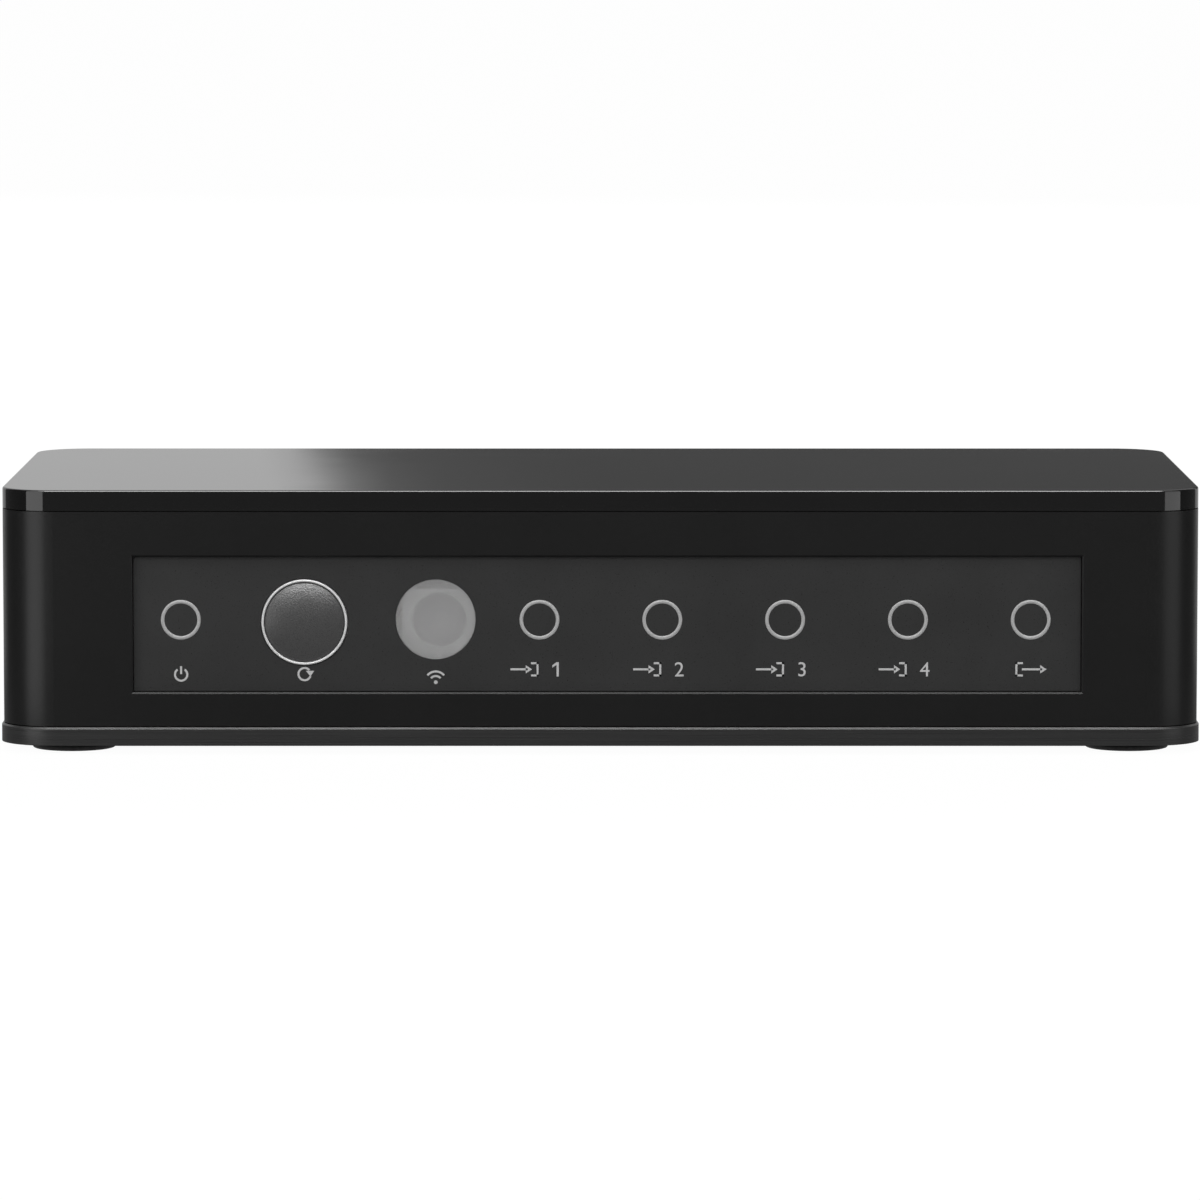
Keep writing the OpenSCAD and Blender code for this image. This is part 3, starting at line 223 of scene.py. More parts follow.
# %% Cards for the reflections
FLAG_TONE = 0.22
FLAG_DARK = 0.12
FLAG_PALE = 0.55
FLAG_RADIUS = 0.105
TALL, HALF, LOW, SLIT = (0.0, 0.09), (0.0, 0.05), (0.0, 0.03), (0.0203, 0.0235)
BAND_LEFT, BAND_RIGHT = (-64.4, -47.8), (54.9, 70.4)
FLAGS = {
    # name: (first and last angle, bottom and top, brightness)
    "flag_left": ((-101.0, -64.0), TALL, FLAG_DARK),
    "flag_front": ((-64.0, 68.0), HALF, FLAG_TONE),
    "flag_right": ((68.0, 101.0), TALL, FLAG_DARK),
    "flag_rear": ((101.0, 259.0), LOW, FLAG_PALE),
}
STRIPS = {
    "strip_left": (BAND_LEFT, TALL, 2.15),
    "strip_right": (BAND_RIGHT, TALL, 1.05),
}
SLITS = {
    "slit_left": (BAND_LEFT, SLIT, 2.3),
    "slit_right": (BAND_RIGHT, SLIT, 1.9),
}
STRIP_INSET = 0.002
CORNER = Vector((0.050, -0.020, 0.0))
STRIP_START = 0.55
SHEETS = {
    # name: (angle from the front, angle above the floor and distance, size, brightness)
    "sheet_top": ((0.0, 58.5, 1.0), (1.6, 0.42), 20.0),
    "sheet_left": ((-46.0, 33.0, 1.0), (0.5, 0.4), 6.0),
}
FLOOR_CLEARANCE = 0.0004
WALL_STEP = 4.0


def glowing(name, tone):
    """A material that only shines, evenly."""
    paint = bpy.data.materials.new(name)
    paint.use_nodes = True
    tree = paint.node_tree
    tree.nodes.clear()
    glow = tree.nodes.new("ShaderNodeEmission")
    glow.inputs["Strength"].default_value = tone
    surface = tree.nodes.new("ShaderNodeOutputMaterial")
    tree.links.new(glow.outputs[0], surface.inputs["Surface"])
    return paint


def mirrored_only(card):
    """Hides a card from everything but reflections."""
    card.visible_camera = False
    card.visible_diffuse = False
    card.visible_shadow = False
    card.visible_transmission = False
    return card


def curved_wall(angles, heights, radius):
    """Points and faces of an upright wall along a circle around the box."""
    (start, stop), (bottom, top) = angles, heights
    count = max(2, round(abs(stop - start) / WALL_STEP))
    points = []
    for i in range(count + 1):
        foot = around(start + (stop - start) * i / count, 0.0, radius)
        points += [(foot.x, foot.y, bottom), (foot.x, foot.y, top)]
    return points, [(2 * i, 2 * i + 2, 2 * i + 3, 2 * i + 1) for i in range(count)]


for inset, cards in enumerate([FLAGS, STRIPS, SLITS]):
    radius = FLAG_RADIUS - inset * STRIP_INSET
    for name, (angles, heights, brightness) in cards.items():
        wall = curved_wall(angles, heights, radius)
        mirrored_only(stage_piece(name, *wall, glowing(name, brightness)))
for name, (angles, heights, brightness) in STRIPS.items():
    corner = Vector((math.copysign(CORNER.x, angles[0]), CORNER.y, 0.0))
    far = [around(angle, 0.0, FLAG_RADIUS) for angle in angles]
    near = [corner.lerp(end, STRIP_START) for end in reversed(far)]
    on_floor = mirrored_only(stage_piece(name + "_floor", far + near, [(0, 1, 2, 3)],
                                         glowing(name + "_floor", brightness)))
    on_floor.location.z = 2 * FLOOR_CLEARANCE
under = mirrored_only(stage_piece("flag_floor", *rectangle(2 * FLAG_RADIUS, 2 * FLAG_RADIUS),
                                  glowing("flag_floor", FLAG_TONE)))
under.location.z = FLOOR_CLEARANCE
for name, (place, size, brightness) in SHEETS.items():
    sheet = mirrored_only(stage_piece(name, *rectangle(*size), glowing(name, brightness)))
    sheet.location = around(*place)
    sheet.rotation_euler = facing(sheet.location)
print("cards:", [*FLAGS, *STRIPS, *SLITS, *SHEETS])

# %% [markdown]
# The cover is seen almost edge on, so it mirrors a strip of whatever stands about a metre behind
# the box, over the low rear flag. In the picture that strip is pale on the left and dark on the
# right, and the soft border between them leans to the right towards the viewer. A card carries that
# change: its border leans, and it grows softer towards the viewer.

# %% Card behind the box
CARD_Y = 1.0
CARD_SIZE = (1.6, 0.5)
CARD_MIDDLE_Z = 0.30
BORDER_X = -0.0685
BORDER_LEAN = 0.0083
BORDER_Z = (0.1008, 0.1110)
SOFT_NEAR, SOFT_FAR = 0.75, 0.95
RAMP_SPAN = 0.2
CARD_STOPS = [
    # (distance across the border, brightness)
    (-0.0187, 0.61),
    (-0.009, 0.53),
    (0.0007, 0.27),
    (0.0104, 0.15),
    (0.025, 0.112),
    (0.0638, 0.092),
]

card_paint = bpy.data.materials.new("card_gradient")
card_paint.use_nodes = True
tree = card_paint.node_tree
tree.nodes.clear()


def calculate(operation, a, b):
    """A math node on two values, each a socket or a number."""
    made = tree.nodes.new("ShaderNodeMath")
    made.operation = operation
    for socket, value in zip(made.inputs, (a, b)):
        if isinstance(value, bpy.types.NodeSocket):
            tree.links.new(value, socket)
        else:
            socket.default_value = value
    return made.outputs[0]


where = tree.nodes.new("ShaderNodeTexCoord")
split = tree.nodes.new("ShaderNodeSeparateXYZ")
tree.links.new(where.outputs["Object"], split.inputs[0])
along = tree.nodes.new("ShaderNodeMapRange")
along.inputs["From Min"].default_value = BORDER_Z[0] - CARD_MIDDLE_Z
along.inputs["From Max"].default_value = BORDER_Z[1] - CARD_MIDDLE_Z
tree.links.new(split.outputs["Y"], along.inputs["Value"])
nearness = along.outputs["Result"]
lean = calculate("MULTIPLY", nearness, BORDER_LEAN)
offset = calculate("SUBTRACT", calculate("SUBTRACT", split.outputs["X"], BORDER_X), lean)
softness = calculate("ADD", calculate("MULTIPLY", nearness, SOFT_FAR - SOFT_NEAR), SOFT_NEAR)
share = calculate("ADD", calculate("DIVIDE", calculate("DIVIDE", offset, softness), RAMP_SPAN), 0.5)
ramp = tree.nodes.new("ShaderNodeValToRGB")
while len(ramp.color_ramp.elements) < len(CARD_STOPS):
    ramp.color_ramp.elements.new(0.5)
for element, (x, tone) in zip(ramp.color_ramp.elements, CARD_STOPS):
    element.position = x / RAMP_SPAN + 0.5
    element.color = (tone, tone, tone, 1.0)
tree.links.new(share, ramp.inputs["Fac"])
glow = tree.nodes.new("ShaderNodeEmission")
tree.links.new(ramp.outputs["Color"], glow.inputs["Color"])
surface = tree.nodes.new("ShaderNodeOutputMaterial")
tree.links.new(glow.outputs[0], surface.inputs["Surface"])

card = mirrored_only(stage_piece("card_back", *rectangle(*CARD_SIZE), card_paint))
card.location = (0.0, CARD_Y, CARD_MIDDLE_Z)
card.rotation_euler = (math.radians(90), 0.0, 0.0)
print("card stops:", CARD_STOPS)

# %% [markdown]
# ## Tools for the finishes
# Every finish is made of the same few moves on one shader: a grain that lives in the piece's own
# coordinates, so it stays put when the piece moves; a little change of colour; a little change of
# gloss; and a relief. Small functions for these keep each finish below short enough to read as a
# recipe. The grain's size is given in millimetres, because that is how one would measure it.

# %% Finish tools
GRAIN_LOW, GRAIN_HIGH = 0.3, 0.7
# the colour sockets of a Mix node, by their place in its lists
MIX_LOW, MIX_HIGH, MIX_RESULT = 6, 7, 2
EDGE_SAMPLES = 4


class Finish:
    """One procedural finish on a single physically based shader.

    The colour and the roughness it starts with are plain values; tint and gloss replace them.
    """

    def __init__(self, name, colour, roughness, specular=0.5, metal=0.0):
        self.material = bpy.data.materials.new(name)
        self.material.use_nodes = True
        self.tree = self.material.node_tree
        self.shader = self.tree.nodes["Principled BSDF"]
        self.set("Base Color", (*colour, 1.0))
        self.set("Roughness", roughness)
        self.set("Metallic", metal)
        self.set("Specular IOR Level", specular)

    def set(self, socket, value):
        self.shader.inputs[socket].default_value = value

    def node(self, kind, **values):
        made = self.tree.nodes.new(kind)
        for key, value in values.items():
            setattr(made, key, value)
        return made

    def link(self, a, b):
        self.tree.links.new(a, b)

    def place(self, stretch=(1.0, 1.0, 1.0)):
        """The piece's own coordinates, stretched along each axis."""
        where = self.node("ShaderNodeTexCoord")
        mapping = self.node("ShaderNodeMapping")
        mapping.inputs["Scale"].default_value = stretch
        self.link(where.outputs["Object"], mapping.inputs["Vector"])
        return mapping.outputs["Vector"]

    def grain(self, size_mm, detail=2.0, stretch=(1.0, 1.0, 1.0)):
        """Cloudy noise whose lumps are about size_mm across."""
        noise = self.node("ShaderNodeTexNoise")
        noise.inputs["Scale"].default_value = 1.0 / (size_mm * MM)
        noise.inputs["Detail"].default_value = detail
        self.link(self.place(stretch), noise.inputs["Vector"])
        return noise.outputs["Fac"]

    def cells(self, size_mm):
        """Pebble-like cells about size_mm across."""
        cells = self.node("ShaderNodeTexVoronoi")
        cells.inputs["Scale"].default_value = 1.0 / (size_mm * MM)
        self.link(self.place(), cells.inputs["Vector"])
        return cells.outputs["Distance"]

    def between(self, factor, low, high):
        """Maps a grain to the range from low to high."""
        change = self.node("ShaderNodeMapRange")
        change.inputs["From Min"].default_value = GRAIN_LOW
        change.inputs["From Max"].default_value = GRAIN_HIGH
        change.inputs["To Min"].default_value = low
        change.inputs["To Max"].default_value = high
        self.link(factor, change.inputs["Value"])
        return change.outputs["Result"]

    def tint(self, factor, low, high):
        """Lets the colour wander between two tones."""
        mix = self.node("ShaderNodeMix", data_type="RGBA")
        mix.inputs[MIX_LOW].default_value = (*low, 1.0)
        mix.inputs[MIX_HIGH].default_value = (*high, 1.0)
        self.link(self.between(factor, 0.0, 1.0), mix.inputs["Factor"])
        self.link(mix.outputs[MIX_RESULT], self.shader.inputs["Base Color"])

    def gloss(self, factor, low, high):
        """Lets the roughness wander between two values."""
        self.link(self.between(factor, low, high), self.shader.inputs["Roughness"])

    def relief(self, height, depth_mm, strength=1.0, edge_mm=0.0):
        """Raises the surface by a grain, and softens sharp edges by edge_mm."""
        bump = self.node("ShaderNodeBump")
        bump.inputs["Strength"].default_value = strength
        bump.inputs["Distance"].default_value = depth_mm * MM
        self.link(height, bump.inputs["Height"])
        if edge_mm:
            edge = self.node("ShaderNodeBevel", samples=EDGE_SAMPLES)
            edge.inputs["Radius"].default_value = edge_mm * MM
            self.link(edge.outputs["Normal"], bump.inputs["Normal"])
        self.link(bump.outputs["Normal"], self.shader.inputs["Normal"])


def grey(value, warm=0.0):
    """A nearly neutral tone; warm tips it to red or, below zero, to blue."""
    return (value * (1 + warm), value, value * (1 - warm))


finishes = {}
print("finish tools ready")

# %% [markdown]
# ## Moulded black plastics
# The wall is spark-eroded black plastic: dull, with a fine even grain. The rear panel is the same
# plastic from another mould. The front panel and the base plate are a shade lighter and have a
# silkier face, and the base shows faint lines along its length where the light catches its corner.
# One could paint all four in one grey, but the small steps between their tones are what tells the
# eye that these are separate mouldings.

# %% Wall, rear panel, front panel, base plate
CLOUD_MM, CLOUD_LOW, CLOUD_HIGH = 9.0, 0.9, 1.1
GLOSS_SPREAD = 0.05


def moulded(slot, colour, roughness, specular, grain_mm, depth_mm, edge_mm=0.12):
    """Eroded plastic: a fine grain for gloss and relief, a wide cloud for the tone."""
    finish = Finish(slot, grey(colour), roughness, specular)
    fine = finish.grain(grain_mm)
    cloud = finish.grain(CLOUD_MM, detail=3.0)
    finish.tint(cloud, grey(colour * CLOUD_LOW), grey(colour * CLOUD_HIGH))
    finish.gloss(fine, roughness - GLOSS_SPREAD, roughness + GLOSS_SPREAD)
    finish.relief(fine, depth_mm, edge_mm=edge_mm)
    finishes[slot] = finish.material


moulded("case_matt", 0.0060, 0.33, 0.27, 0.16, 0.004, edge_mm=0.0)
moulded("rear_matt", 0.0045, 0.48, 0.3, 0.18, 0.004)
moulded("panel_satin", 0.0270, 0.32, 0.3, 0.12, 0.003)

base = Finish("base_satin", grey(0.0155), 0.31, 0.6)
lines = base.grain(1.0, detail=3.0, stretch=(0.05, 0.05, 12.0))
base.tint(lines, grey(0.0138), grey(0.0168))
base.gloss(lines, 0.26, 0.36)
base.relief(lines, 0.004, edge_mm=0.05)
finishes["base_satin"] = base.material
print("plastics:", sorted(finishes))

# %% [markdown]
# ## The polished cover
# The cover is glossy black plastic, so its look is nearly all reflection. It still is not a perfect
# mirror: a moulded face is very slightly wavy and carries a faint haze that changes from place to
# place. Both are kept tiny, because a deep wave would break the calm reflection in the picture.

# %% Cover
cover = Finish("cover_gloss", grey(0.0045), 0.05, 0.5)
haze = cover.grain(14.0, detail=3.0)
cover.tint(haze, grey(0.0042), grey(0.0048))
cover.gloss(haze, 0.035, 0.07)
cover.relief(cover.grain(22.0, detail=0.0), 0.002)
finishes["cover_gloss"] = cover.material

rubber = Finish("foot_rubber", grey(0.006), 0.78, 0.4)
pores = rubber.grain(0.3, detail=4.0)
rubber.tint(pores, grey(0.005), grey(0.007))
rubber.gloss(pores, 0.7, 0.86)
rubber.relief(pores, 0.02)
finishes["foot_rubber"] = rubber.material
print("cover and feet done")

# %% [markdown]
# ## Button, bright ring and window
# The button's dome has a leathery grain of small pebbles, which breaks its highlight into sparkle.
# The ring is satin silver with faint turning lines. The window is grey plastic that lets some
# light through, so the receiver behind it shows as a shadow: part of its light is scattered in the
# plastic and part goes straight through.

# %% Button, ring, window
button = Finish("button_soft", grey(0.057), 0.3, 0.42)
pebbles = button.cells(0.12)
fine = button.grain(0.12, detail=3.0)
button.tint(fine, grey(0.052), grey(0.062))
button.gloss(fine, 0.24, 0.36)
button.relief(pebbles, 0.018, strength=0.9)
finishes["button_soft"] = button.material

ring = Finish("ring_bright", grey(0.60), 0.5, 0.3, metal=0.1)
turned = ring.grain(0.05, detail=1.0, stretch=(1.0, 8.0, 1.0))
ring.tint(turned, grey(0.56), grey(0.64))
ring.gloss(turned, 0.46, 0.56)
ring.relief(turned, 0.001)
finishes["ring_bright"] = ring.material

window = Finish("window_grey", grey(0.71), 0.18, 0.4)
window.set("Transmission Weight", 0.75)
window.set("IOR", 1.49)
smoke = window.grain(1.2, detail=3.0)
window.tint(smoke, grey(0.70), grey(0.72))
window.gloss(smoke, 0.15, 0.21)
window.relief(window.grain(0.1), 0.001)
finishes["window_grey"] = window.material
print("button, ring and window done")

# %% [markdown]
# ## What lies behind: metals, black mouldings and the board
# Through the window one sees the receiver, and from behind one looks into five sockets and the
# power jack. Sheet metal shows faint rolling lines, small mouldings a fine grain, the board its
# solder resist with buried tracks. Most of it stays in the dark, yet each piece gets its own
# recipe, because the parts are also shown by themselves.

# %% Metals
LINE_MM, LINE_DEPTH_MM, METAL_EDGE_MM = 0.12, 0.002, 0.05
LINE_SHADE, LINE_SMOOTH, LINE_ROUGH = 0.86, 0.06, 0.08


def drawn_metal(slot, colour, roughness, stretch=(1.0, 0.08, 1.0)):
    """Rolled or drawn metal with faint lines along one direction."""
    finish = Finish(slot, colour, roughness, metal=1.0)
    lines = finish.grain(LINE_MM, detail=3.0, stretch=stretch)
    low = tuple(c * LINE_SHADE for c in colour)
    finish.tint(lines, low, colour)
    finish.gloss(lines, roughness - LINE_SMOOTH, roughness + LINE_ROUGH)
    finish.relief(lines, LINE_DEPTH_MM, edge_mm=METAL_EDGE_MM)
    finishes[slot] = finish.material


drawn_metal("screw_steel", grey(0.50), 0.32)
drawn_metal("lead_tin", grey(0.60), 0.36, stretch=(1.0, 1.0, 0.08))
drawn_metal("eye_can", grey(0.52), 0.34, stretch=(0.08, 1.0, 1.0))
drawn_metal("switch_steel", grey(0.55), 0.30)
drawn_metal("dome_steel", grey(0.62), 0.22)
drawn_metal("capacitor_can", grey(0.56, -0.02), 0.34, stretch=(1.0, 1.0, 0.08))
drawn_metal("crystal_steel", grey(0.56), 0.28)
drawn_metal("socket_steel", grey(0.52), 0.30)
drawn_metal("contact_gold", (0.72, 0.48, 0.15), 0.26)
drawn_metal("jack_nickel", grey(0.62), 0.22)
drawn_metal("jack_bronze", (0.56, 0.40, 0.16), 0.34)
print("finishes so far:", len(finishes))

# %% [markdown]
# The small black mouldings (holders, switch, chips, sockets, jack) share the recipe of the wall with
# other numbers. The receiver is cast in dark resin, smooth and a little bluish. The indicator lamps
# are clear resin. The board's tracks lie under its green lacquer, so they show as slightly raised,
# lighter lines; a brick pattern with a large offset gives their right angles without drawing any.

# %% Small mouldings, resin and board
for slot, colour, roughness in [
    ("holder_black", 0.012, 0.50),
    ("switch_black", 0.012, 0.52),
    ("plunger_black", 0.020, 0.50),
    ("chip_black", 0.011, 0.55),
    ("socket_black", 0.009, 0.48),
    ("jack_black", 0.010, 0.45),
]:
    moulded(slot, colour, roughness, 0.4, 0.14, 0.005, edge_mm=0.08)

resin = Finish("eye_epoxy", (0.008, 0.008, 0.010), 0.16, 0.5)
bubbles = resin.grain(0.8, detail=2.0)
resin.tint(bubbles, (0.007, 0.007, 0.009), (0.009, 0.009, 0.012))
resin.gloss(bubbles, 0.12, 0.22)
resin.relief(bubbles, 0.002)
finishes["eye_epoxy"] = resin.material

lens = Finish("lamp_clear", (0.80, 0.82, 0.84), 0.08)
lens.set("Transmission Weight", 0.85)
lens.set("IOR", 1.53)
swirl = lens.grain(1.5, detail=2.0)
lens.tint(swirl, (0.76, 0.78, 0.80), (0.84, 0.85, 0.87))
lens.gloss(swirl, 0.05, 0.12)
finishes["lamp_clear"] = lens.material

board = Finish("board_green", (0.014, 0.050, 0.026), 0.34, 0.5)
tracks = board.node("ShaderNodeTexBrick", offset=0.35, squash=0.6)
tracks.inputs["Scale"].default_value = 220.0
tracks.inputs["Mortar Size"].default_value = 0.05
tracks.inputs["Color1"].default_value = (0.012, 0.046, 0.024, 1.0)
tracks.inputs["Color2"].default_value = (0.016, 0.054, 0.028, 1.0)
tracks.inputs["Mortar"].default_value = (0.035, 0.085, 0.040, 1.0)
board.link(board.place(), tracks.inputs["Vector"])
board.link(tracks.outputs["Color"], board.shader.inputs["Base Color"])
resist = board.grain(0.5, detail=3.0)
board.gloss(resist, 0.28, 0.42)
board.relief(tracks.outputs["Fac"], 0.02)
finishes["board_green"] = board.material
print("finishes:", len(finishes))

# %% [markdown]
# ## Handing the finishes out
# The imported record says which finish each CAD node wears, so the names are read from there and no
# piece can be forgotten.

# %% Dress the nodes
for part in frame["record"]["subparts"]:
    piece = nodes[part["node"]]
    piece.data.materials.clear()
    piece.data.materials.append(finishes[part["material_slot"]])

# %% [markdown]
# ## The printed rings
# Each indicator is a thin ring screen-printed on the panel; the lamp behind it shows through only
# when it is lit. The six rings are one shape at six places, which is what Geometry Nodes are for: a
# handful of points, one ring made from a circle and a flat profile, and one instance on each point.
# The ring's sizes are inputs of the node group, so the print can be changed without touching it.

# %% Printed rings by Geometry Nodes
RING_DIAMETER = 3.98 * MM
RING_STROKE = 0.35 * MM
PRINT_THICKNESS = 0.02 * MM
RING_SEGMENTS = 96
LAMPS_IN_ROW = ["power", "input_1", "input_2", "input_3", "input_4", "output"]


def printing_ink(name, tone, low, high):
    """Pale screen-printing ink with the fine dots of its mesh."""
    finish = Finish(name, grey(tone), 0.5, 0.3)
    dots = finish.grain(0.09, detail=2.0)
    finish.tint(dots, grey(low), grey(high))
    finish.gloss(dots, 0.45, 0.6)
    finish.relief(dots, 0.002)
    return finish.material


ink = printing_ink("print_grey", 0.50, 0.44, 0.54)
ring_ink = printing_ink("print_ring", 0.40, 0.35, 0.43)
panel_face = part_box("front_panel")[0][1]
print_y = panel_face - PRINT_THICKNESS / 2


def middle(node):
    """The middle of a CAD node's box."""
    low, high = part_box(node)
    return (Vector(low) + Vector(high)) / 2


def ring_group():
    """A node group that puts one printed ring on every point it is given."""
    group = bpy.data.node_groups.new("printed_rings", "GeometryNodeTree")
    face = group.interface
    face.new_socket("Geometry", in_out="INPUT", socket_type="NodeSocketGeometry")
    for name in ("Diameter", "Stroke", "Thickness"):
        face.new_socket(name, in_out="INPUT", socket_type="NodeSocketFloat")
    face.new_socket("Ink", in_out="INPUT", socket_type="NodeSocketMaterial")
    face.new_socket("Geometry", in_out="OUTPUT", socket_type="NodeSocketGeometry")
    new, link = group.nodes.new, group.links.new
    start = new("NodeGroupInput")
    end = new("NodeGroupOutput")
    inner = new("ShaderNodeMath")
    inner.operation = "SUBTRACT"
    link(start.outputs["Diameter"], inner.inputs[0])
    link(start.outputs["Stroke"], inner.inputs[1])
    radius = new("ShaderNodeMath")
    radius.operation = "MULTIPLY"
    radius.inputs[1].default_value = 0.5
    link(inner.outputs[0], radius.inputs[0])
    circle = new("GeometryNodeCurvePrimitiveCircle")
    circle.inputs["Resolution"].default_value = RING_SEGMENTS
    link(radius.outputs[0], circle.inputs["Radius"])
    profile = new("GeometryNodeCurvePrimitiveQuadrilateral")
    link(start.outputs["Stroke"], profile.inputs["Width"])
    link(start.outputs["Thickness"], profile.inputs["Height"])
    sweep = new("GeometryNodeCurveToMesh")
    link(circle.outputs["Curve"], sweep.inputs["Curve"])
    link(profile.outputs["Curve"], sweep.inputs["Profile Curve"])
    copies = new("GeometryNodeInstanceOnPoints")
    copies.inputs["Rotation"].default_value = (math.radians(90), 0.0, 0.0)
    link(start.outputs["Geometry"], copies.inputs["Points"])
    link(sweep.outputs["Mesh"], copies.inputs["Instance"])
    real = new("GeometryNodeRealizeInstances")
    link(copies.outputs["Instances"], real.inputs["Geometry"])
    paint = new("GeometryNodeSetMaterial")
    link(real.outputs["Geometry"], paint.inputs["Geometry"])
    link(start.outputs["Ink"], paint.inputs["Material"])
    link(paint.outputs["Geometry"], end.inputs["Geometry"])
    return group


def identifier(group, name):
    """The socket identifier under which a modifier keeps a named input."""
    inputs = [s for s in group.interface.items_tree if s.in_out == "INPUT"]
    return next(s.identifier for s in inputs if s.name == name)


def baked(source, name):
    """A plain mesh object made from an object's finished shape; the source is removed."""
    graph = bpy.context.evaluated_depsgraph_get()
    mesh = bpy.data.meshes.new_from_object(source.evaluated_get(graph))
    bpy.data.objects.remove(source)
    made = bpy.data.objects.new(name, mesh)
    mesh.name = name
    bpy.context.collection.objects.link(made)
    return made


spots = [middle("indicator_led_" + name) for name in LAMPS_IN_ROW]
seed_mesh = bpy.data.meshes.new("ring_places")
seed_mesh.from_pydata([(p.x, print_y, p.z) for p in spots], [], [])
seed = bpy.data.objects.new("ring_places", seed_mesh)
bpy.context.collection.objects.link(seed)
group = ring_group()
modifier = seed.modifiers.new("rings", "NODES")
modifier.node_group = group
for name, value in [("Diameter", RING_DIAMETER), ("Stroke", RING_STROKE),
                    ("Thickness", PRINT_THICKNESS), ("Ink", ring_ink)]:
    modifier[identifier(group, name)] = value
rings = baked(seed, "printed_rings")
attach(rings, "case")
print("rings:", len(rings.data.polygons), "faces around", len(spots), "lamps")

# %% [markdown]
# ## The printed marks
# Under the indicators the panel carries small pale marks, plain signs that any such box could
# carry: a power sign, a cycle arrow for the button, waves for the receiver, arrows into and out of
# a bracket for inputs and output, and the numbers 1 to 4. All sizes of a mark are in millimetres
# on the flat panel, from the middle of its foot. First each sign is laid out flat, as a list of
# closed outlines. The figure one is among them, because in the typeface used for the other numbers
# it is a bare bar.

# %% Outlines of the marks
MARK_HEIGHT = 1.43
STROKE = 0.2
ARC_STEP = 8.0
ARROW_HEAD, ARROW_HALF, ARROW_SHARE = 0.62, 0.42, 0.7
BRACKET_ARM = 0.75
POWER_SPAN, POWER_DROP, POWER_REACH = (125, 415), 0.05, 0.22
CYCLE_SPAN, CYCLE_TIP_ANGLE = (40, 340), 20
CYCLE_TIP = [(-0.45, 0.12), (0.38, 0.12), (0.0, -0.45)]
DOT_RADIUS, DOT_STEP = 0.19, 20
WAVE_RADII, WAVE_SPAN = (0.62, 1.08), (40, 140)
INPUT_ARROW, INPUT_WALL = (-2.9, -0.75), -0.1
OUTPUT_WALL, OUTPUT_ARROW = -1.5, (-0.85, 1.6)
ONE_REACH, ONE_DROP = 0.42, 0.32
ONE_STEM, ONE_TIP, ONE_ROOT = STROKE * 1.15, STROKE * 1.2, STROKE * 1.3


def bar(x0, y0, x1, y1):
    """Outline of an upright rectangle."""
    return [(x0, y0), (x1, y0), (x1, y1), (x0, y1)]


def on_circle(cy, radius, angles):
    """Points on a circle around the place at height cy, at angles in degrees."""
    turns = [math.radians(angle) for angle in angles]
    return [(radius * math.cos(a), cy + radius * math.sin(a)) for a in turns]


def arc(cy, radius, start, stop):
    """Outline of a stroke along a circle, from start to stop in degrees, counter-clockwise."""
    count = max(2, int(abs(stop - start) / ARC_STEP))
    angles = [start + (stop - start) * i / count for i in range(count + 1)]
    return on_circle(cy, radius + STROKE / 2, angles) + on_circle(cy, radius - STROKE / 2, angles)[::-1]


def arrow(x0, x1, y):
    """Shaft and head of an arrow that points to +X; its length is x1 - x0."""
    neck = x1 - ARROW_HEAD
    return [bar(x0, y - STROKE / 2, x1 - ARROW_HEAD * ARROW_SHARE, y + STROKE / 2),
            [(neck, y - ARROW_HALF), (x1, y), (neck, y + ARROW_HALF)]]


def bracket(x, y0, y1, way):
    """Upright stroke with two short arms that point in the direction of way."""
    a, b = sorted((x, x + way * BRACKET_ARM))
    u, v = sorted((x, x + way * STROKE))
    return [bar(u, y0, v, y1), bar(a, y0, b, y0 + STROKE), bar(a, y1 - STROKE, b, y1)]


def power_sign():
    """A ring that is open at the top, with an upright bar in the gap."""
    r = (MARK_HEIGHT - STROKE) / 2
    cy = r + STROKE / 2 - POWER_DROP
    return [arc(cy, r, *POWER_SPAN), bar(-STROKE / 2, cy + POWER_DROP, STROKE / 2, cy + r + POWER_REACH)]


def cycle_sign():
    """A ring with a gap at its right and an arrow head at the gap's end."""
    r = (MARK_HEIGHT - STROKE) / 2
    cy = r + STROKE / 2
    (x, y), = on_circle(cy, r, [CYCLE_TIP_ANGLE])
    return [arc(cy, r, *CYCLE_SPAN), [(x + dx, y + dy) for dx, dy in CYCLE_TIP]]


def wave_sign():
    """A dot with two waves above it."""
    dot = on_circle(DOT_RADIUS, DOT_RADIUS, range(0, 360, DOT_STEP))
    return [dot, *(arc(DOT_RADIUS, radius, *WAVE_SPAN) for radius in WAVE_RADII)]


def input_sign():
    """An arrow that points into a bracket."""
    return [*arrow(*INPUT_ARROW, MARK_HEIGHT / 2), *bracket(INPUT_WALL, 0.0, MARK_HEIGHT, -1)]


def output_sign():
    """An arrow that points out of a bracket."""
    return [*bracket(OUTPUT_WALL, 0.0, MARK_HEIGHT, 1), *arrow(*OUTPUT_ARROW, MARK_HEIGHT / 2)]


def figure_one():
    """An upright bar with a short flag at its top."""
    top, low = MARK_HEIGHT, MARK_HEIGHT - ONE_DROP
    flag = [(0.0, top), (-ONE_REACH, low), (-ONE_REACH, low - ONE_TIP), (0.0, top - ONE_ROOT)]
    return [bar(0.0, 0.0, ONE_STEM, top), flag]


SIGNS = (power_sign, cycle_sign, wave_sign, input_sign, output_sign, figure_one)
print("outlines in each sign:", {sign.__name__: len(sign()) for sign in SIGNS})

# %% [markdown]
# An outline becomes ink in three moves: it is given the ink's thickness, stood up against the panel
# and put at its place under the lamp, the button or the window. The other numbers come from
# Blender's own typeface, turned into a mesh and scaled to the height of the marks.

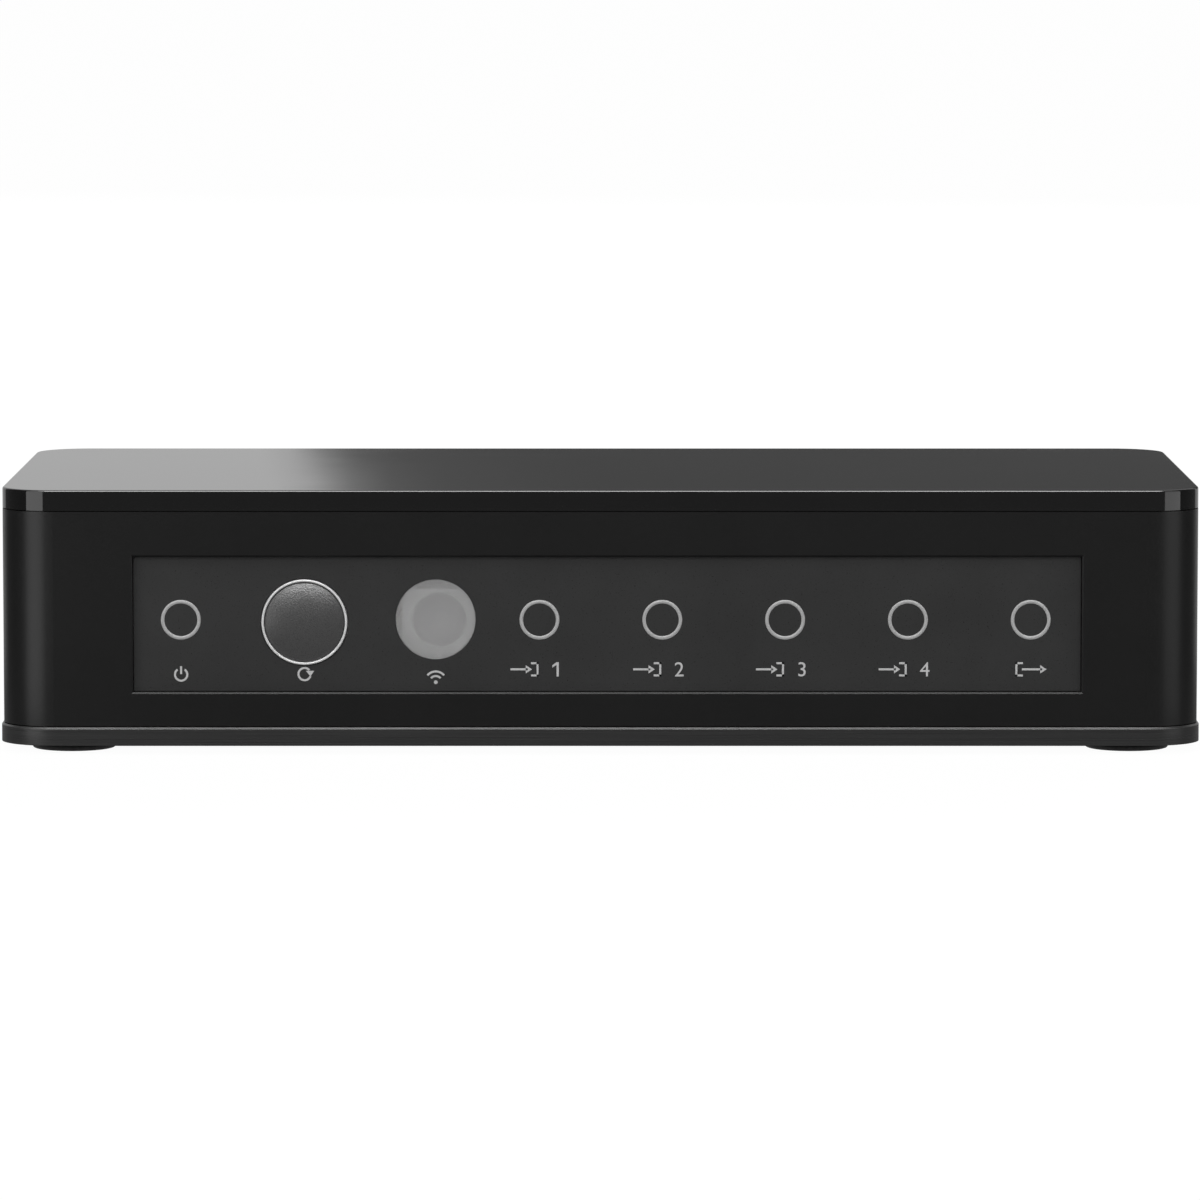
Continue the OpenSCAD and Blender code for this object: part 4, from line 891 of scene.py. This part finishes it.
# %% Marks on the panel
# heights of the marks' feet over the floor, in millimetres
BASE_LOW = 7.30
BASE_HIGH = 7.78
BASE_EYE = 7.01
NUMBER_SHIFT = 1.7
CURVE_STEPS = 6
STAND_UP = Matrix.Rotation(math.radians(90), 4, "X")


def printed(name, outlines, x_mm, z_mm):
    """Ink in the shape of flat outlines in millimetres, on the panel at x and z."""
    shape = bmesh.new()
    for outline in outlines:
        ends = []
        for depth in (-0.5, 0.5):
            ends.append([shape.verts.new((x * MM, y * MM, depth * PRINT_THICKNESS)) for x, y in outline])
        back, front = ends
        count = len(outline)
        shape.faces.new(back[::-1])
        shape.faces.new(front)
        for i in range(count):
            j = (i + 1) % count
            shape.faces.new((back[i], back[j], front[j], front[i]))
    shape.transform(Matrix.Translation((x_mm * MM, print_y, z_mm * MM)) @ STAND_UP)
    bmesh.ops.recalc_face_normals(shape, faces=shape.faces)
    bmesh.ops.triangulate(shape, faces=shape.faces)
    mesh = bpy.data.meshes.new(name)
    shape.to_mesh(mesh)
    shape.free()
    mesh.materials.append(ink)
    mark = bpy.data.objects.new(name, mesh)
    bpy.context.collection.objects.link(mark)
    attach(mark, "case")


def numeral(name, text, x_mm, z_mm):
    """A number in Blender's own typeface, scaled to the mark's height."""
    curve = bpy.data.curves.new(name, "FONT")
    curve.body = text
    curve.size = 1.0
    curve.resolution_u = CURVE_STEPS
    source = bpy.data.objects.new(name + "_source", curve)
    bpy.context.collection.objects.link(source)
    mark = baked(source, name)
    xs = [v.co.x for v in mark.data.vertices]
    ys = [v.co.y for v in mark.data.vertices]
    scale = MARK_HEIGHT * MM / (max(ys) - min(ys))
    middle_x = (max(xs) + min(xs)) / 2
    flat = Matrix.Scale(scale, 4) @ Matrix.Translation((-middle_x, -min(ys), 0))
    stand = Matrix.Translation((x_mm * MM, print_y, z_mm * MM)) @ STAND_UP
    mark.data.transform(stand @ flat)
    body = bmesh.new()
    body.from_mesh(mark.data)
    thick = bmesh.ops.extrude_face_region(body, geom=body.faces[:])
    moved = [v for v in thick["geom"] if isinstance(v, bmesh.types.BMVert)]
    bmesh.ops.translate(body, verts=moved, vec=(0, -PRINT_THICKNESS / 2, 0))
    bmesh.ops.recalc_face_normals(body, faces=body.faces)
    body.to_mesh(mark.data)
    body.free()
    mark.data.materials.clear()
    mark.data.materials.append(ink)
    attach(mark, "case")


lamp_x = {name: spot.x / MM for name, spot in zip(LAMPS_IN_ROW, spots)}
printed("mark_power", power_sign(), lamp_x["power"], BASE_LOW)
printed("mark_select", cycle_sign(), middle("select_button").x / MM, BASE_LOW)
printed("mark_receiver", wave_sign(), middle("ir_window").x / MM, BASE_EYE)
printed("mark_output", output_sign(), lamp_x["output"], BASE_HIGH)
for number in "1234":
    x = lamp_x["input_" + number]
    printed("mark_input_" + number, input_sign(), x, BASE_HIGH)
    if number == "1":
        printed("number_1", figure_one(), x + NUMBER_SHIFT, BASE_HIGH)
    else:
        numeral("number_" + number, number, x + NUMBER_SHIFT, BASE_HIGH)

# %% [markdown]
# ## The size, and the view transform
# The print stands two hundredths of a millimetre proud of the sunk panel and nothing else was added,
# so the dressed box must measure what the bare one does. The scene uses the Standard view
# transform.

# %% View transform
scene = bpy.context.scene
scene.view_settings.view_transform = "Standard"
